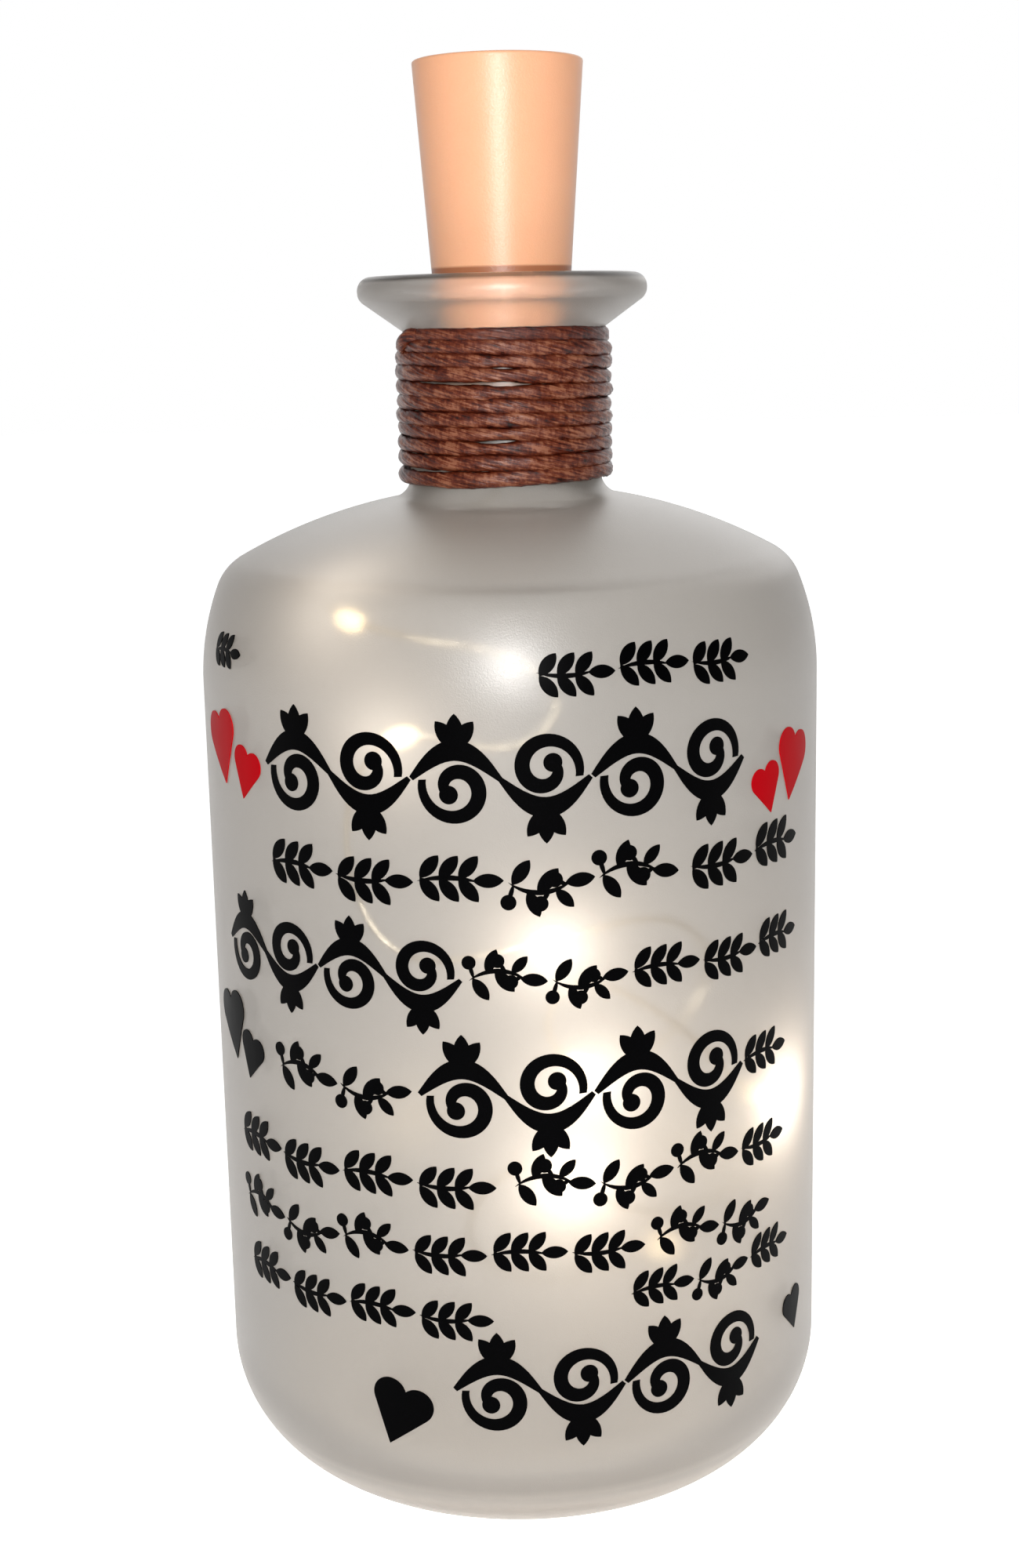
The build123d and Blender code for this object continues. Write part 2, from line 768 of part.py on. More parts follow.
def make_battery_holder():
    """The cradle: two end walls, a half-round back, two legs and a flange under the board."""
    back_height = crown_low - holder_low
    cradle = ring(holder_r, holder_in_r, holder_low, back_height)
    front = box_at(
        (holder_r * 3, holder_r * 2, back_height + 2 * cut_over),
        holder_low - cut_over,
        y=-holder_front - holder_r,
    )
    cradle -= front
    cradle += disc(holder_r, holder_low, holder_end)
    cradle += disc(holder_r, crown_low, holder_end)
    for x in (-leg_offset, leg_offset):
        cradle += box_at((*leg_size, flange_low - crown_low), crown_low, x)
    cradle += disc(board_r, flange_low, flange_thick)
    height = board_low - holder_low
    groove = (groove_width, board_r, height + 2 * cut_over)
    cradle -= box_at(groove, holder_low - cut_over, y=holder_in_r + board_r / 2)
    mouth = (groove_width, board_r, holder_end + cut_over)
    cradle -= box_at(mouth, holder_low - cut_over, y=holder_in_r - loose_gap + board_r / 2)
    cradle -= strap_slot(holder_low + holder_end, board_low + cut_over)
    plate_slot = box_at(
        (strap_width + 2 * loose_gap, strap_thick + 2 * loose_gap, height),
        crown_low - cut_over,
        y=-plate_strap_offset,
    )
    cradle -= plate_slot
    pins_depth = pin_tail + loose_gap
    pins_slot = box_at((pin_pitch * 2 + pin_r * 4, pin_r * 4, pins_depth), board_low - pins_depth)
    cradle -= pins_slot
    for x, y in screw_places():
        cradle -= disc(screw_shank_r + fit_gap, flange_low - cut_over, flange_thick + 2 * cut_over, x, y)
        cradle -= disc(screw_head_r + fit_gap, crown_top, flange_low - crown_top, x, y)
    return cradle


def make_cell(low):
    """One button cell: a can open downwards, a seal and the cap inside it."""
    can_low = low + cell_step
    can = disc(cell_r, can_low, cell_height - cell_step)
    can = fillet(can.edges().sort_by(Axis.Z)[-1], can_round)
    seal_r = cap_r_cell + fit_gap + seal_wall
    depth = cell_height - cell_step - can_wall
    can -= disc(seal_r + fit_gap, can_low - cut_over, depth + cut_over)
    seal = ring(seal_r, cap_r_cell + fit_gap, can_low, depth)
    core = disc(cap_r_cell, low, cell_step + depth)
    core = fillet(core.edges().sort_by(Axis.Z)[0], can_round / 2)
    return can, seal, core


def make_contact_spring():
    """A small cone of wire under the lowest cell."""
    clear = spring_wire / 2
    low = spring_low + clear
    rise = spring_room - spring_wire

    def place(turn):
        share = turn / spring_turns
        point = polar(spring_low_r + (spring_high_r - spring_low_r) * share, 360 * turn)
        return Vector(point.X, point.Y, low + rise * share)

    least_gap(place, spring_turns, spring_wire, "contact_spring")
    return tube(helix_path(place, spring_turns, spring_wire), spring_wire)


def make_negative_strap():
    """A strip under the spring that bends up the cradle's back to the board."""
    inner = holder_in_r
    low = spring_low - strap_thick
    foot_length = inner + strap_thick + spring_low_r
    foot = strap_plane(low) * Pos(0, 0, -spring_low_r) * Box(
        strap_width, strap_thick, foot_length, align=(Align.CENTER, Align.MIN, Align.MIN))
    riser = strap_plane(low) * Pos(0, 0, inner) * Box(
        strap_width, board_low - low, strap_thick, align=(Align.CENTER, Align.MIN, Align.MIN))
    return foot + riser


def make_contact_plate():
    """The disc on the top cell, with a strip up to the board."""
    plate = disc(plate_r, cells_top, plate_thick)
    strip = box_at((strap_width, strap_thick, board_low - cells_top), cells_top, y=-plate_strap_offset)
    return plate + strip


def pin_places():
    return [-pin_pitch, 0.0, pin_pitch]


def make_circuit_board():
    board = disc(board_r, board_low, board_thick)
    for x, y in screw_places():
        board -= disc(screw_shank_r + fit_gap, board_low - cut_over, board_thick + 2 * cut_over, x, y)
    for x in pin_places():
        board -= disc(pin_r + fit_gap, board_low - cut_over, board_thick + 2 * cut_over, x)
    return board


def make_resistor():
    return box_at(resistor_size, board_top, y=-resistor_offset)


def make_switch_base():
    inner = (switch_length - 2 * switch_skin - 2 * fit_gap, switch_width - 2 * switch_skin - 2 * fit_gap)
    base = box_at((*inner, switch_base), board_top)
    for x in pin_places():
        base -= disc(pin_r + fit_gap, board_top - cut_over, switch_base / 2 + cut_over, x)
    return base


def make_switch_cover():
    cover = box_at((switch_length, switch_width, switch_height), board_top)
    inner = (switch_length - 2 * switch_skin, switch_width - 2 * switch_skin)
    cover -= box_at((*inner, switch_height - switch_skin + cut_over), board_top - cut_over)
    slot_length = knob_length + switch_travel + 2 * slide_gap
    cover -= box_at((slot_length, knob_width + 2 * slide_gap, switch_height), board_top + switch_base)
    return cover


def make_switch_pins():
    length = switch_base / 2 + board_thick + pin_tail - fit_gap
    return [solid for x in pin_places() for solid in disc(pin_r, board_low - pin_tail, length, x).solids()]


def make_switch_knob():
    """The slider, drawn in its lit position at the end of its travel."""
    x = switch_travel / 2
    foot_low = board_top + switch_base + fit_gap
    knob_top = cap_top + knob_proud
    foot = box_at(knob_foot, foot_low, x)
    knob = box_at((knob_length, knob_width, knob_top - foot_low), foot_low, x)
    knob = chamfer(knob.edges().group_by(Axis.Z)[-1], cap_round)
    return foot + knob


def make_grommet():
    body = disc(grommet_neck_r, stopper_low, shell_floor)
    body += disc(grommet_flange_r, grommet_low, grommet_flange)
    body += disc(grommet_flange_r - loose_gap, floor_top, grommet_bead)
    hole = disc(wire_d / 2 + fit_gap, grommet_low - cut_over, wire_top - grommet_low + 2 * cut_over)
    return body - hole


def rounded_route(points, name):
    """Straight runs joined by tangent arcs as large as the runs allow. Prints the radii."""
    corners = [Vector(*point) for point in points]
    radii = []
    for before, corner, after in zip(corners, corners[1:], corners[2:]):
        shorter = min((corner - before).length, (after - corner).length)
        turn = (corner - before).get_angle(after - corner)
        radii.append(arc_share * shorter / math.tan(math.radians(turn / 2)))
    path = FilletPolyline(*corners, radius=radii)
    print(f"{name}: radii " + " ".join(f"{radius:.1f}" for radius in radii))
    return path.wire()


def checked_tube(path, name):
    solid = tube(path, wire_d)
    expected = math.pi * wire_d ** 2 / 4 * path.length
    print(f"{name}: length {path.length:.1f} mm, volume {solid.volume:.2f} of {expected:.2f} mm3")
    return solid


def make_lead_wire():
    """The lead inside the stopper: down the cradle's groove and once round, as spare for pulling it out."""
    lane = holder_in_r + wire_d / 2 + fit_gap
    loop = lane - fit_gap * 4
    shelf = holder_low - wire_d * 2.2
    side = polar(loop, 30)
    points = [
        (0, lane, board_low),
        (0, lane, shelf),
        (-side.X, side.Y, shelf - wire_d * 1.6),
        (-side.X, -side.Y, shelf - wire_d * 2.4),
        (0, -loop, shelf - wire_d * 2.2),
        (side.X, -side.Y, shelf - wire_d),
        (side.X * 2 / 3, side.Y * 2 / 3, shelf),
        (0, 0, shelf - wire_d),
        (0, 0, wire_top),
    ]
    return checked_tube(rounded_route(points, "lead_wire"), "lead_wire")


def make_light_string():
    """The wire with its resin beads, the chips in them and the sleeve on its end."""
    path = rounded_route(light_route, "light_wire")
    wire = checked_tube(path, "light_wire")
    hidden = wire_top - grommet_low
    print(f"light_wire: {path.length - hidden:.1f} mm of it free, below the grommet")
    beads, chips = [], []
    for i in range(light_count):
        share = (hidden + first_light + light_pitch * i) / path.length
        place = Plane(origin=path @ share, z_dir=path % share)
        half = bead_length / 2
        outline = [
            ThreePointArc((bead_end_r, -half), (bead_r, 0), (bead_end_r, half)),
            Polyline((bead_end_r, half), (0, half), (0, -half), (bead_end_r, -half)),
        ]
        bead = place * turned(outline)
        offset = wire_d / 2 + chip_size[2] / 2 + fit_gap
        chip = place * Pos(offset, 0, 0) * Box(chip_size[2], chip_size[1], chip_size[0])
        beads += (bead - wire - chip).solids()
        chips += chip.solids()
    end = Plane(origin=path @ 1, z_dir=path % 1)
    sleeve = end * Pos(0, 0, -sleeve_grip) * Cylinder(
        sleeve_r, sleeve_length, align=(Align.CENTER, Align.CENTER, Align.MIN))
    sleeve -= end * Pos(0, 0, -sleeve_grip - cut_over) * Cylinder(
        wire_d / 2 + fit_gap, sleeve_grip + cut_over, align=(Align.CENTER, Align.CENTER, Align.MIN))
    return wire, beads, chips, sleeve


def build():
    save(make_bottle(), "bottle_glass")
    save(make_neck_twine(), "neck_twine")
    band = film_band()
    ornament = make_ornament(band)
    save(Compound(ornament["laurel"]), "vinyl_laurels")
    save(Compound(ornament["berry"]), "vinyl_berry_sprigs")
    save(Compound(ornament["vine"]), "vinyl_vines")
    save(Compound(make_hearts(band, red_heart_shares)), "vinyl_red_hearts")
    save(Compound(make_hearts(band, black_heart_shares)), "vinyl_black_hearts")
    save(make_stopper_shell(), "stopper_shell")
    save(make_grommet(), "wire_grommet")
    save(make_stopper_cap(), "stopper_cap")
    save(Compound(make_screws()), "cap_screws")
    save(make_battery_holder(), "battery_holder")
    for i in range(cell_count):
        can, seal, core = make_cell(cells_low + cell_height * i)
        save(can, f"cell_can_{i + 1}")
        save(seal, f"cell_seal_{i + 1}")
        save(core, f"cell_cap_{i + 1}")
    save(make_contact_spring(), "contact_spring")
    save(make_negative_strap(), "negative_strap")
    save(make_contact_plate(), "contact_plate")
    save(make_circuit_board(), "circuit_board")
    save(make_resistor(), "resistor")
    save(make_switch_base(), "switch_base")
    save(make_switch_cover(), "switch_cover")
    save(Compound(make_switch_pins()), "switch_pins")
    save(make_switch_knob(), "switch_knob")
    save(make_lead_wire(), "lead_wire")
    wire, beads, chips, sleeve = make_light_string()
    save(wire, "light_wire")
    save(Compound(beads), "light_beads")
    save(Compound(chips), "light_chips")
    save(sleeve, "wire_end_sleeve")


build()
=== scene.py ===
import math

import bpy
import numpy as np
from mathutils import Matrix


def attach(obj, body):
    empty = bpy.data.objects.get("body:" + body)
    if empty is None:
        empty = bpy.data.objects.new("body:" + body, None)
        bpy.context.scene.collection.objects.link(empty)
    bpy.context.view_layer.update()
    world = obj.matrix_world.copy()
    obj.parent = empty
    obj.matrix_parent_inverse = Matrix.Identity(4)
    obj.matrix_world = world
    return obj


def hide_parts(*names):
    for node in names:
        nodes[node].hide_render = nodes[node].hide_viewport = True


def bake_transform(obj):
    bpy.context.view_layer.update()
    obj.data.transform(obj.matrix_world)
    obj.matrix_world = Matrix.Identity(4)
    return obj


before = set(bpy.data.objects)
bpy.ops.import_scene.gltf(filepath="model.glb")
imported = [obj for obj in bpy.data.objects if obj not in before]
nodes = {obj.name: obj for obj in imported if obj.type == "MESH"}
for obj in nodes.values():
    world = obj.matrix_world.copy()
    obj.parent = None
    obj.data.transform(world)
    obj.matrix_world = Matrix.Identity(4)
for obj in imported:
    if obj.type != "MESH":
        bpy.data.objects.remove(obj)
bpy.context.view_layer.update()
mm = 0.001


# Shader maths: a wrapped socket takes part in sums, and each sum adds its Math node

class Wired:
    def __init__(self, paint, socket):
        self.paint, self.socket = paint, socket

    def __add__(self, other):
        return self.paint.maths("ADD", self, other)

    def __sub__(self, other):
        return self.paint.maths("SUBTRACT", self, other)

    def __rsub__(self, other):
        return self.paint.maths("SUBTRACT", other, self)

    def __mul__(self, other):
        return self.paint.maths("MULTIPLY", self, other)

    def __truediv__(self, other):
        return self.paint.maths("DIVIDE", self, other)

    def __rtruediv__(self, other):
        return self.paint.maths("DIVIDE", other, self)

    def __pow__(self, other):
        return self.paint.maths("POWER", self, other)

    __radd__, __rmul__ = __add__, __mul__


class Paint:
    # one material, or the world. node() adds any shader node: its settings first, then the values or links
    # of its sockets
    def __init__(self, name, world=False):
        self.material = (bpy.data.worlds if world else bpy.data.materials).new(name)
        self.material.use_nodes = True
        self.tree = self.material.node_tree
        self.tree.nodes.clear()
        self.output = self.tree.nodes.new("ShaderNodeOutput" + ("World" if world else "Material"))

    def plug(self, socket, value):
        if isinstance(value, Wired):
            self.tree.links.new(value.socket, socket)
        elif isinstance(value, tuple) and socket.type == "RGBA":
            socket.default_value = (*value, 1.0)[:4]
        else:
            socket.default_value = value

    def node(self, kind, settings=None, inputs=None, out=0):
        made = self.tree.nodes.new("ShaderNode" + kind)
        for key, value in (settings or {}).items():
            if key == "stops":
                while len(made.color_ramp.elements) < len(value):
                    made.color_ramp.elements.new(0.5)
                for element, (place, colour) in zip(made.color_ramp.elements, value):
                    element.position, element.color = place, (*colour, 1.0)
            else:
                setattr(made, key, value)
        for key, value in (inputs or {}).items():
            self.plug(made.inputs[key], value)
        return Wired(self, made.outputs[out])

    def maths(self, operation, *values):
        return self.node("Math", {"operation": operation}, dict(enumerate(values)))

    def clamped(self, value):
        return self.node("Math", {"operation": "ADD", "use_clamp": True}, {0: value, 1: 0.0})

    def place(self):
        return self.node("TexCoord", out="Object")

    def scaled(self, vector, scale):
        return self.node("Mapping", {}, {"Vector": vector, "Scale": scale})

    def noise(self, vector, scale, detail, rough=0.5):
        inputs = {"Vector": vector, "Scale": scale, "Detail": detail, "Roughness": rough}
        return self.node("TexNoise", {}, inputs)

    def mix(self, factor, first, second):
        inputs = {0: factor, 6: first, 7: second}
        return self.node("Mix", {"data_type": "RGBA", "clamp_factor": True}, inputs, out=2)

    def height(self, place):
        # in mm
        return self.node("SeparateXYZ", {}, {0: place}, out="Z") / mm

    def bump(self, height, distance, strength):
        inputs = {"Height": height, "Distance": distance, "Strength": strength}
        return self.node("Bump", {}, inputs)

    def show(self, shader):
        self.tree.links.new(shader.socket, self.output.inputs["Surface"])
        return self.material

    def principled(self, inputs):
        return self.node("BsdfPrincipled", {}, inputs)

    def finish(self, inputs):
        return self.show(self.principled(inputs))

    def glazed(self, inputs, passed):
        # glass that lets light through to what lies behind it: a clear tint to rays that look for a lamp
        lamp = self.node("LightPath", out="Is Shadow Ray")
        film = self.node("BsdfTransparent", {}, {"Color": passed})
        return self.show(self.node("MixShader", {}, {0: lamp, 1: self.principled(inputs), 2: film}))


# Shapes

def polar(radius, degrees):
    return radius * np.array([math.cos(math.radians(degrees)), math.sin(math.radians(degrees))])


def arc(centre, radius, start, sweep, count):
    # points on a circle from a start angle over a sweep, in degrees
    angles = np.radians(start + sweep * np.linspace(0, 1, count))
    return centre + radius * np.stack([np.cos(angles), np.sin(angles)], 1)


def straight(first, last, count):
    return np.linspace(np.array(first, float), np.array(last, float), count)


def rounded(points, radii, count):
    # straight runs whose inner corners are arcs that touch both runs, their centres on the bisectors
    points = np.array(points, float)
    parts = [points[:1]]
    for before, corner, after, radius in zip(points, points[1:], points[2:], radii):
        back, on = before - corner, after - corner
        back, on = back / np.linalg.norm(back), on / np.linalg.norm(on)
        half = math.acos(np.clip(back @ on, -1, 1)) / 2
        middle = (back + on) / np.linalg.norm(back + on)
        centre = corner + middle * radius / math.sin(half)
        first, last = corner + back * radius / math.tan(half), corner + on * radius / math.tan(half)
        start = math.degrees(math.atan2(*(first - centre)[::-1]))
        end = math.degrees(math.atan2(*(last - centre)[::-1]))
        sweep = (end - start + 180) % 360 - 180
        parts.append(arc(centre, radius, start, sweep, count))
    return np.concatenate([*parts, points[-1:]])


def meshPiece(name, points, faces, materials, faceMaterial=None, fibre=None):
    mesh = bpy.data.meshes.new(name)
    mesh.from_pydata(points.reshape(-1, 3).tolist(), [], faces)
    mesh.polygons.foreach_set("use_smooth", np.ones(len(mesh.polygons), bool))
    for material in materials:
        mesh.materials.append(material)
    if faceMaterial is not None:
        mesh.polygons.foreach_set("material_index", np.asarray(faceMaterial, np.int32))
    if fibre is not None:
        layer = mesh.attributes.new("fibre", "FLOAT_VECTOR", "POINT")
        layer.data.foreach_set("vector", fibre.astype(np.float32).ravel())
    mesh.update()
    piece = bpy.data.objects.new(name, mesh)
    bpy.context.scene.collection.objects.link(piece)
    return piece


def gridFaces(rows, columns, wrapRows=False):
    # quads of a grid whose columns close on themselves, and whose rows may too
    row = np.arange(rows if wrapRows else rows - 1)[:, None]
    column = np.arange(columns)[None, :]
    nextRow, nextColumn = (row + 1) % rows, (column + 1) % columns
    corners = [row * columns + column, row * columns + nextColumn,
               nextRow * columns + nextColumn, nextRow * columns + column]
    return np.stack([np.broadcast_to(c, (len(row), columns)) for c in corners], -1).reshape(-1, 4)


def turnedPoints(profile, steps):
    # a profile of radius and height goes round the Z axis: x = r cos a, y = r sin a
    angles = np.linspace(0, 2 * math.pi, steps, endpoint=False)
    radius, height = profile[:, 0:1], profile[:, 1:2]
    return np.stack([radius * np.cos(angles), radius * np.sin(angles), height + 0 * angles], -1)


def turned(name, profile, steps, materials, split=None):
    # a profile that starts and ends on the axis closes there in one point; any other closes on itself
    capped = profile[0, 0] < 1e-6 and profile[-1, 0] < 1e-6
    inner = profile[1:-1] if capped else profile
    rows = len(inner)
    points = turnedPoints(inner, steps).reshape(-1, 3)
    faces = gridFaces(rows, steps, wrapRows=not capped).tolist()
    rowOf = np.repeat(np.arange(rows - 1 if capped else rows), steps)
    if capped:
        ends = np.array([[0, 0, profile[0, 1]], [0, 0, profile[-1, 1]]])
        points = np.concatenate([points, ends])
        step = np.arange(steps)
        nextStep = (step + 1) % steps
        last = (rows - 1) * steps
        faces += np.stack([step * 0 + rows * steps, nextStep, step], 1).tolist()
        faces += np.stack([step * 0 + rows * steps + 1, last + step, last + nextStep], 1).tolist()
        rowOf = np.concatenate([rowOf, step * 0, step * 0 + rows])
    index = None if split is None else (rowOf >= split).astype(np.int32)
    return meshPiece(name, points * mm, faces, materials, index)


def unit(vectors):
    return vectors / np.linalg.norm(vectors, axis=-1, keepdims=True)


def carriedFrames(line):
    # the side vector is carried along the line, and at each point what lies along the line is taken out
    along = unit(np.gradient(line, axis=0))
    sides = np.empty_like(along)
    side = np.array([1.0, 0.3, 0.1])
    for i, way in enumerate(along):
        side = unit(side - way * (side @ way))
        sides[i] = side
    return along, sides, np.cross(along, sides)


def tubeGrid(line, side, up, radius, around):
    # rings across a line: centre + r (side cos t + up sin t), at so many even angles, or at those given
    angles = np.linspace(0, 2 * math.pi, around, endpoint=False) if isinstance(around, int) else around
    radius = np.broadcast_to(radius, (len(line), len(angles)))[..., None]
    cosines, sines = np.cos(angles)[None, :, None], np.sin(angles)[None, :, None]
    return line[:, None] + radius * (side[:, None] * cosines + up[:, None] * sines)


def tubeFaces(rings, around):
    faces = gridFaces(rings, around).tolist()
    faces.append(list(range(around))[::-1])
    faces.append(list(range((rings - 1) * around, rings * around)))
    return faces


def measured(line):
    # distance along a line at each of its points
    steps = np.linalg.norm(np.diff(line, axis=0), axis=1)
    return np.concatenate([[0.0], np.cumsum(steps)])


def pointsAt(line, places):
    along = measured(line)
    return np.stack([np.interp(places, along, line[:, k]) for k in range(3)], -1)


def dressed(piece, body, slotName, *replaced):
    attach(piece, body)
    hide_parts(*replaced)


# The light string's route comes first: the painted glow of the frosted glass follows its lights

string = {
    "thick": 0.8,
    "lights": 10,
    "pitch": 50.0,
    "firstLight": 50.0,
    "beadLong": 4.6,
    "beadR": 1.4,
    "beadRings": 13,
    "beadAround": 16,
    "beadGrip": 0.55,
    "exitZ": 140.9,
    "meshStep": 0.8,
    "around": 12,
    "twist": 3.2,
    "lobe": 0.26,
    "glow": 1.8,
    "route": [
        (0.0, 0.0, 140.9), (0.0, 0.0, 129.5), (-12.0, -8.0, 121.5), (-24.5, -20.5, 120.0),
        (-14.5, -33.0, 117.5), (0.5, -31.5, 115.0), (7.0, -32.0, 109.0), (0.5, -33.5, 102.5),
        (-15.5, -34.0, 107.5), (-21.5, -31.5, 93.0), (-15.5, -34.5, 76.5), (2.0, -37.0, 80.0),
        (18.0, -32.0, 83.0), (25.0, -25.0, 75.5), (21.0, -27.0, 66.0), (9.0, -34.0, 61.5),
        (2.0, -35.5, 69.0), (7.5, -35.0, 76.5), (20.0, -31.0, 68.0), (28.0, -24.0, 56.5),
        (34.0, -16.0, 52.0), (33.0, -14.5, 43.0), (23.0, -24.5, 40.0), (10.0, -33.5, 44.5),
        (4.0, -35.5, 53.5), (-6.0, -34.5, 47.5), (-7.0, -31.0, 37.0), (4.0, -28.0, 32.0),
        (18.0, -22.0, 34.0), (31.0, -9.0, 33.0), (36.0, 9.0, 30.0), (25.0, 27.0, 29.0),
        (4.0, 36.0, 33.0), (-17.0, 32.5, 34.0), (-26.0, 25.5, 25.0), (-17.0, 32.0, 17.0),
        (-1.0, 36.5, 15.0), (14.0, 33.5, 14.0), (22.0, 29.0, 14.0),
    ],
}


def smoothLine(route):
    # the smooth line of a route, read from a NURBS curve whose control points are the route's
    curve = bpy.data.curves.new("route", "CURVE")
    curve.dimensions = "3D"
    curve.resolution_u = 16
    spline = curve.splines.new("NURBS")
    spline.points.add(len(route) - 1)
    for point, place in zip(spline.points, route):
        point.co = (*place, 1.0)
    spline.order_u = 3
    spline.use_endpoint_u = True
    holder = bpy.data.objects.new("route", curve)
    bpy.context.scene.collection.objects.link(holder)
    bpy.context.view_layer.update()
    mesh = bpy.data.meshes.new_from_object(holder)
    line = np.array([vertex.co for vertex in mesh.vertices], float)
    bpy.data.objects.remove(holder)
    bpy.data.meshes.remove(mesh)
    return line


stringLine = smoothLine(string["route"])
stringLong = measured(stringLine)[-1]
lightPlaces = string["firstLight"] + string["pitch"] * np.arange(string["lights"])
lightCentres = pointsAt(stringLine, lightPlaces)
print(f"route: {stringLong:.1f} mm, {len(stringLine)} points")


# Materials

glass = {
    "tint": (0.375, 0.357, 0.338), "cloudShade": 0.94,
    "rimShadeTint": (0.055, 0.050, 0.046), "rimFrom": 159.1, "rimTo": 159.98, "rimSlopes": (2.5, 12.0),
    "footGlowTint": (0.47, 0.41, 0.35), "footTop": 7.2, "footSlope": 0.45, "footShare": 0.70,
    "paleLineGlowTint": (0.62, 0.585, 0.54), "edgeAt": 7.6, "edgeSlope": 0.8, "edgeShare": 0.45,
    "grain": (5200.0, 2.0, 0.6), "grainDeep": 0.05, "cloud": (60.0, 3.0, 0.55),
    "rough": 0.36, "roughSpan": 0.08, "transmission": 0.78, "bend": 1.5,
    "clearTint": (0.97, 0.97, 0.955), "clearRough": 0.03,
    "frostPasses": (0.68, 0.66, 0.63), "glassPasses": (0.98, 0.98, 0.97),
    "coreColour": (1.0, 0.93, 0.80), "coreReach": 8.4, "coreGlow": 1.95, "coreMix": 2.2,
    "haloColour": (1.0, 0.80, 0.60), "haloReach": 14.5, "haloGlow": 0.125,
    "fillReach": 34.0, "fillGlow": 0.010,
    # how bright the painted glow near each light stands, in order from the stopper
    "paintedGlowShares": (0.45, 0.50, 0.95, 1.20, 1.30, 1.30, 0.95, 0.80, 0.60, 0.80),
}


def frostedGlass():
    # ground glass: a rough clear surface over a pale body, with a glow painted on it as emission near each
    # light of the string.
    # With the distance d to a light and the reach r of a glow, f = r r / (d d + r r): the fill goes by f,
    # the halo by f squared and the core by f cubed
    g = glass
    paint = Paint("frostedGlass")
    place = paint.place()
    reaches = [(g[name] * mm) ** 2 for name in ("coreReach", "haloReach", "fillReach")]
    core = halo = fill = 0.0
    for centre, share in zip(lightCentres, g["paintedGlowShares"]):
        apart = paint.node("VectorMath", {"operation": "DISTANCE"},
                           {0: place, 1: tuple(centre * mm)}, out="Value")
        squared = apart * apart
        fades = [reach / (squared + reach) for reach in reaches]
        core = core + fades[0] ** 3 * share
        halo = halo + fades[1] ** 2 * share
        fill = fill + fades[2]
    # painted glow: emission on the glass that stands in for the string's light
    strength = core * g["coreGlow"] + halo * g["haloGlow"] + fill * g["fillGlow"]
    colour = paint.mix(paint.clamped(core * g["coreMix"]), g["haloColour"], g["coreColour"])
    glow = paint.node("VectorMath", {"operation": "SCALE"}, {0: colour, "Scale": strength})
    grain = paint.noise(place, *g["grain"])
    cloud = paint.noise(place, *g["cloud"])
    tint = paint.mix(cloud * 0.5, g["tint"], tuple(c * g["cloudShade"] for c in g["tint"]))
    height = paint.height(place)
    # painted shade: the rounded edge of the lip's top is darker
    rim = paint.clamped((height - g["rimFrom"]) * g["rimSlopes"][0])
    rim = rim * paint.clamped((g["rimTo"] - height) * g["rimSlopes"][1])
    tint = paint.mix(rim, tint, g["rimShadeTint"])
    # painted light: the foot is warmer and paler, under a paler line, both standing in for light in the
    # glass base
    foot = paint.clamped((g["footTop"] - height) * g["footSlope"])
    edge = paint.clamped(1.0 - paint.maths("ABSOLUTE", height - g["edgeAt"]) * g["edgeSlope"])
    tint = paint.mix(foot * g["footShare"], tint, g["footGlowTint"])
    tint = paint.mix(edge * g["edgeShare"], tint, g["paleLineGlowTint"])
    return paint.glazed({
        "Base Color": tint,
        "Roughness": grain * g["roughSpan"] + (g["rough"] - g["roughSpan"] / 2),
        "IOR": g["bend"],
        "Transmission Weight": g["transmission"],
        "Emission Color": glow,
        "Emission Strength": 1.0,
        "Normal": paint.bump(grain, g["grainDeep"] * mm, 0.5),
    }, g["frostPasses"])


def clearGlass():
    paint = Paint("clearGlass")
    return paint.glazed({
        "Base Color": glass["clearTint"],
        "Roughness": glass["clearRough"],
        "IOR": glass["bend"],
        "Transmission Weight": 1.0,
    }, glass["glassPasses"])


satin = {
    "shades": ((0.83, 0.395, 0.215), (0.89, 0.445, 0.255)),
    "paintedGlint": (0.95, 0.54, 0.32), "paintedGlintShare": 0.35,
    "seatShadeTint": (0.28, 0.080, 0.025), "seatShadeShare": 0.85, "ringAt": 160.4, "ringWide": 2.2, "ringSlope": 3.2,
    "cloud": (120.0, 4.0, 0.6), "grain": (3800.0, 3.0, 0.65), "drawn": (1400.0, 2.0),
    "drawnStretch": (1.0, 1.0, 0.02), "drawnShare": 0.15, "deep": 0.04,
    "rough": 0.26, "roughSpan": 0.22, "specular": 0.5,
    "under": 0.08, "underRadius": (0.9, 0.35, 0.15), "underScale": 1.2,
}


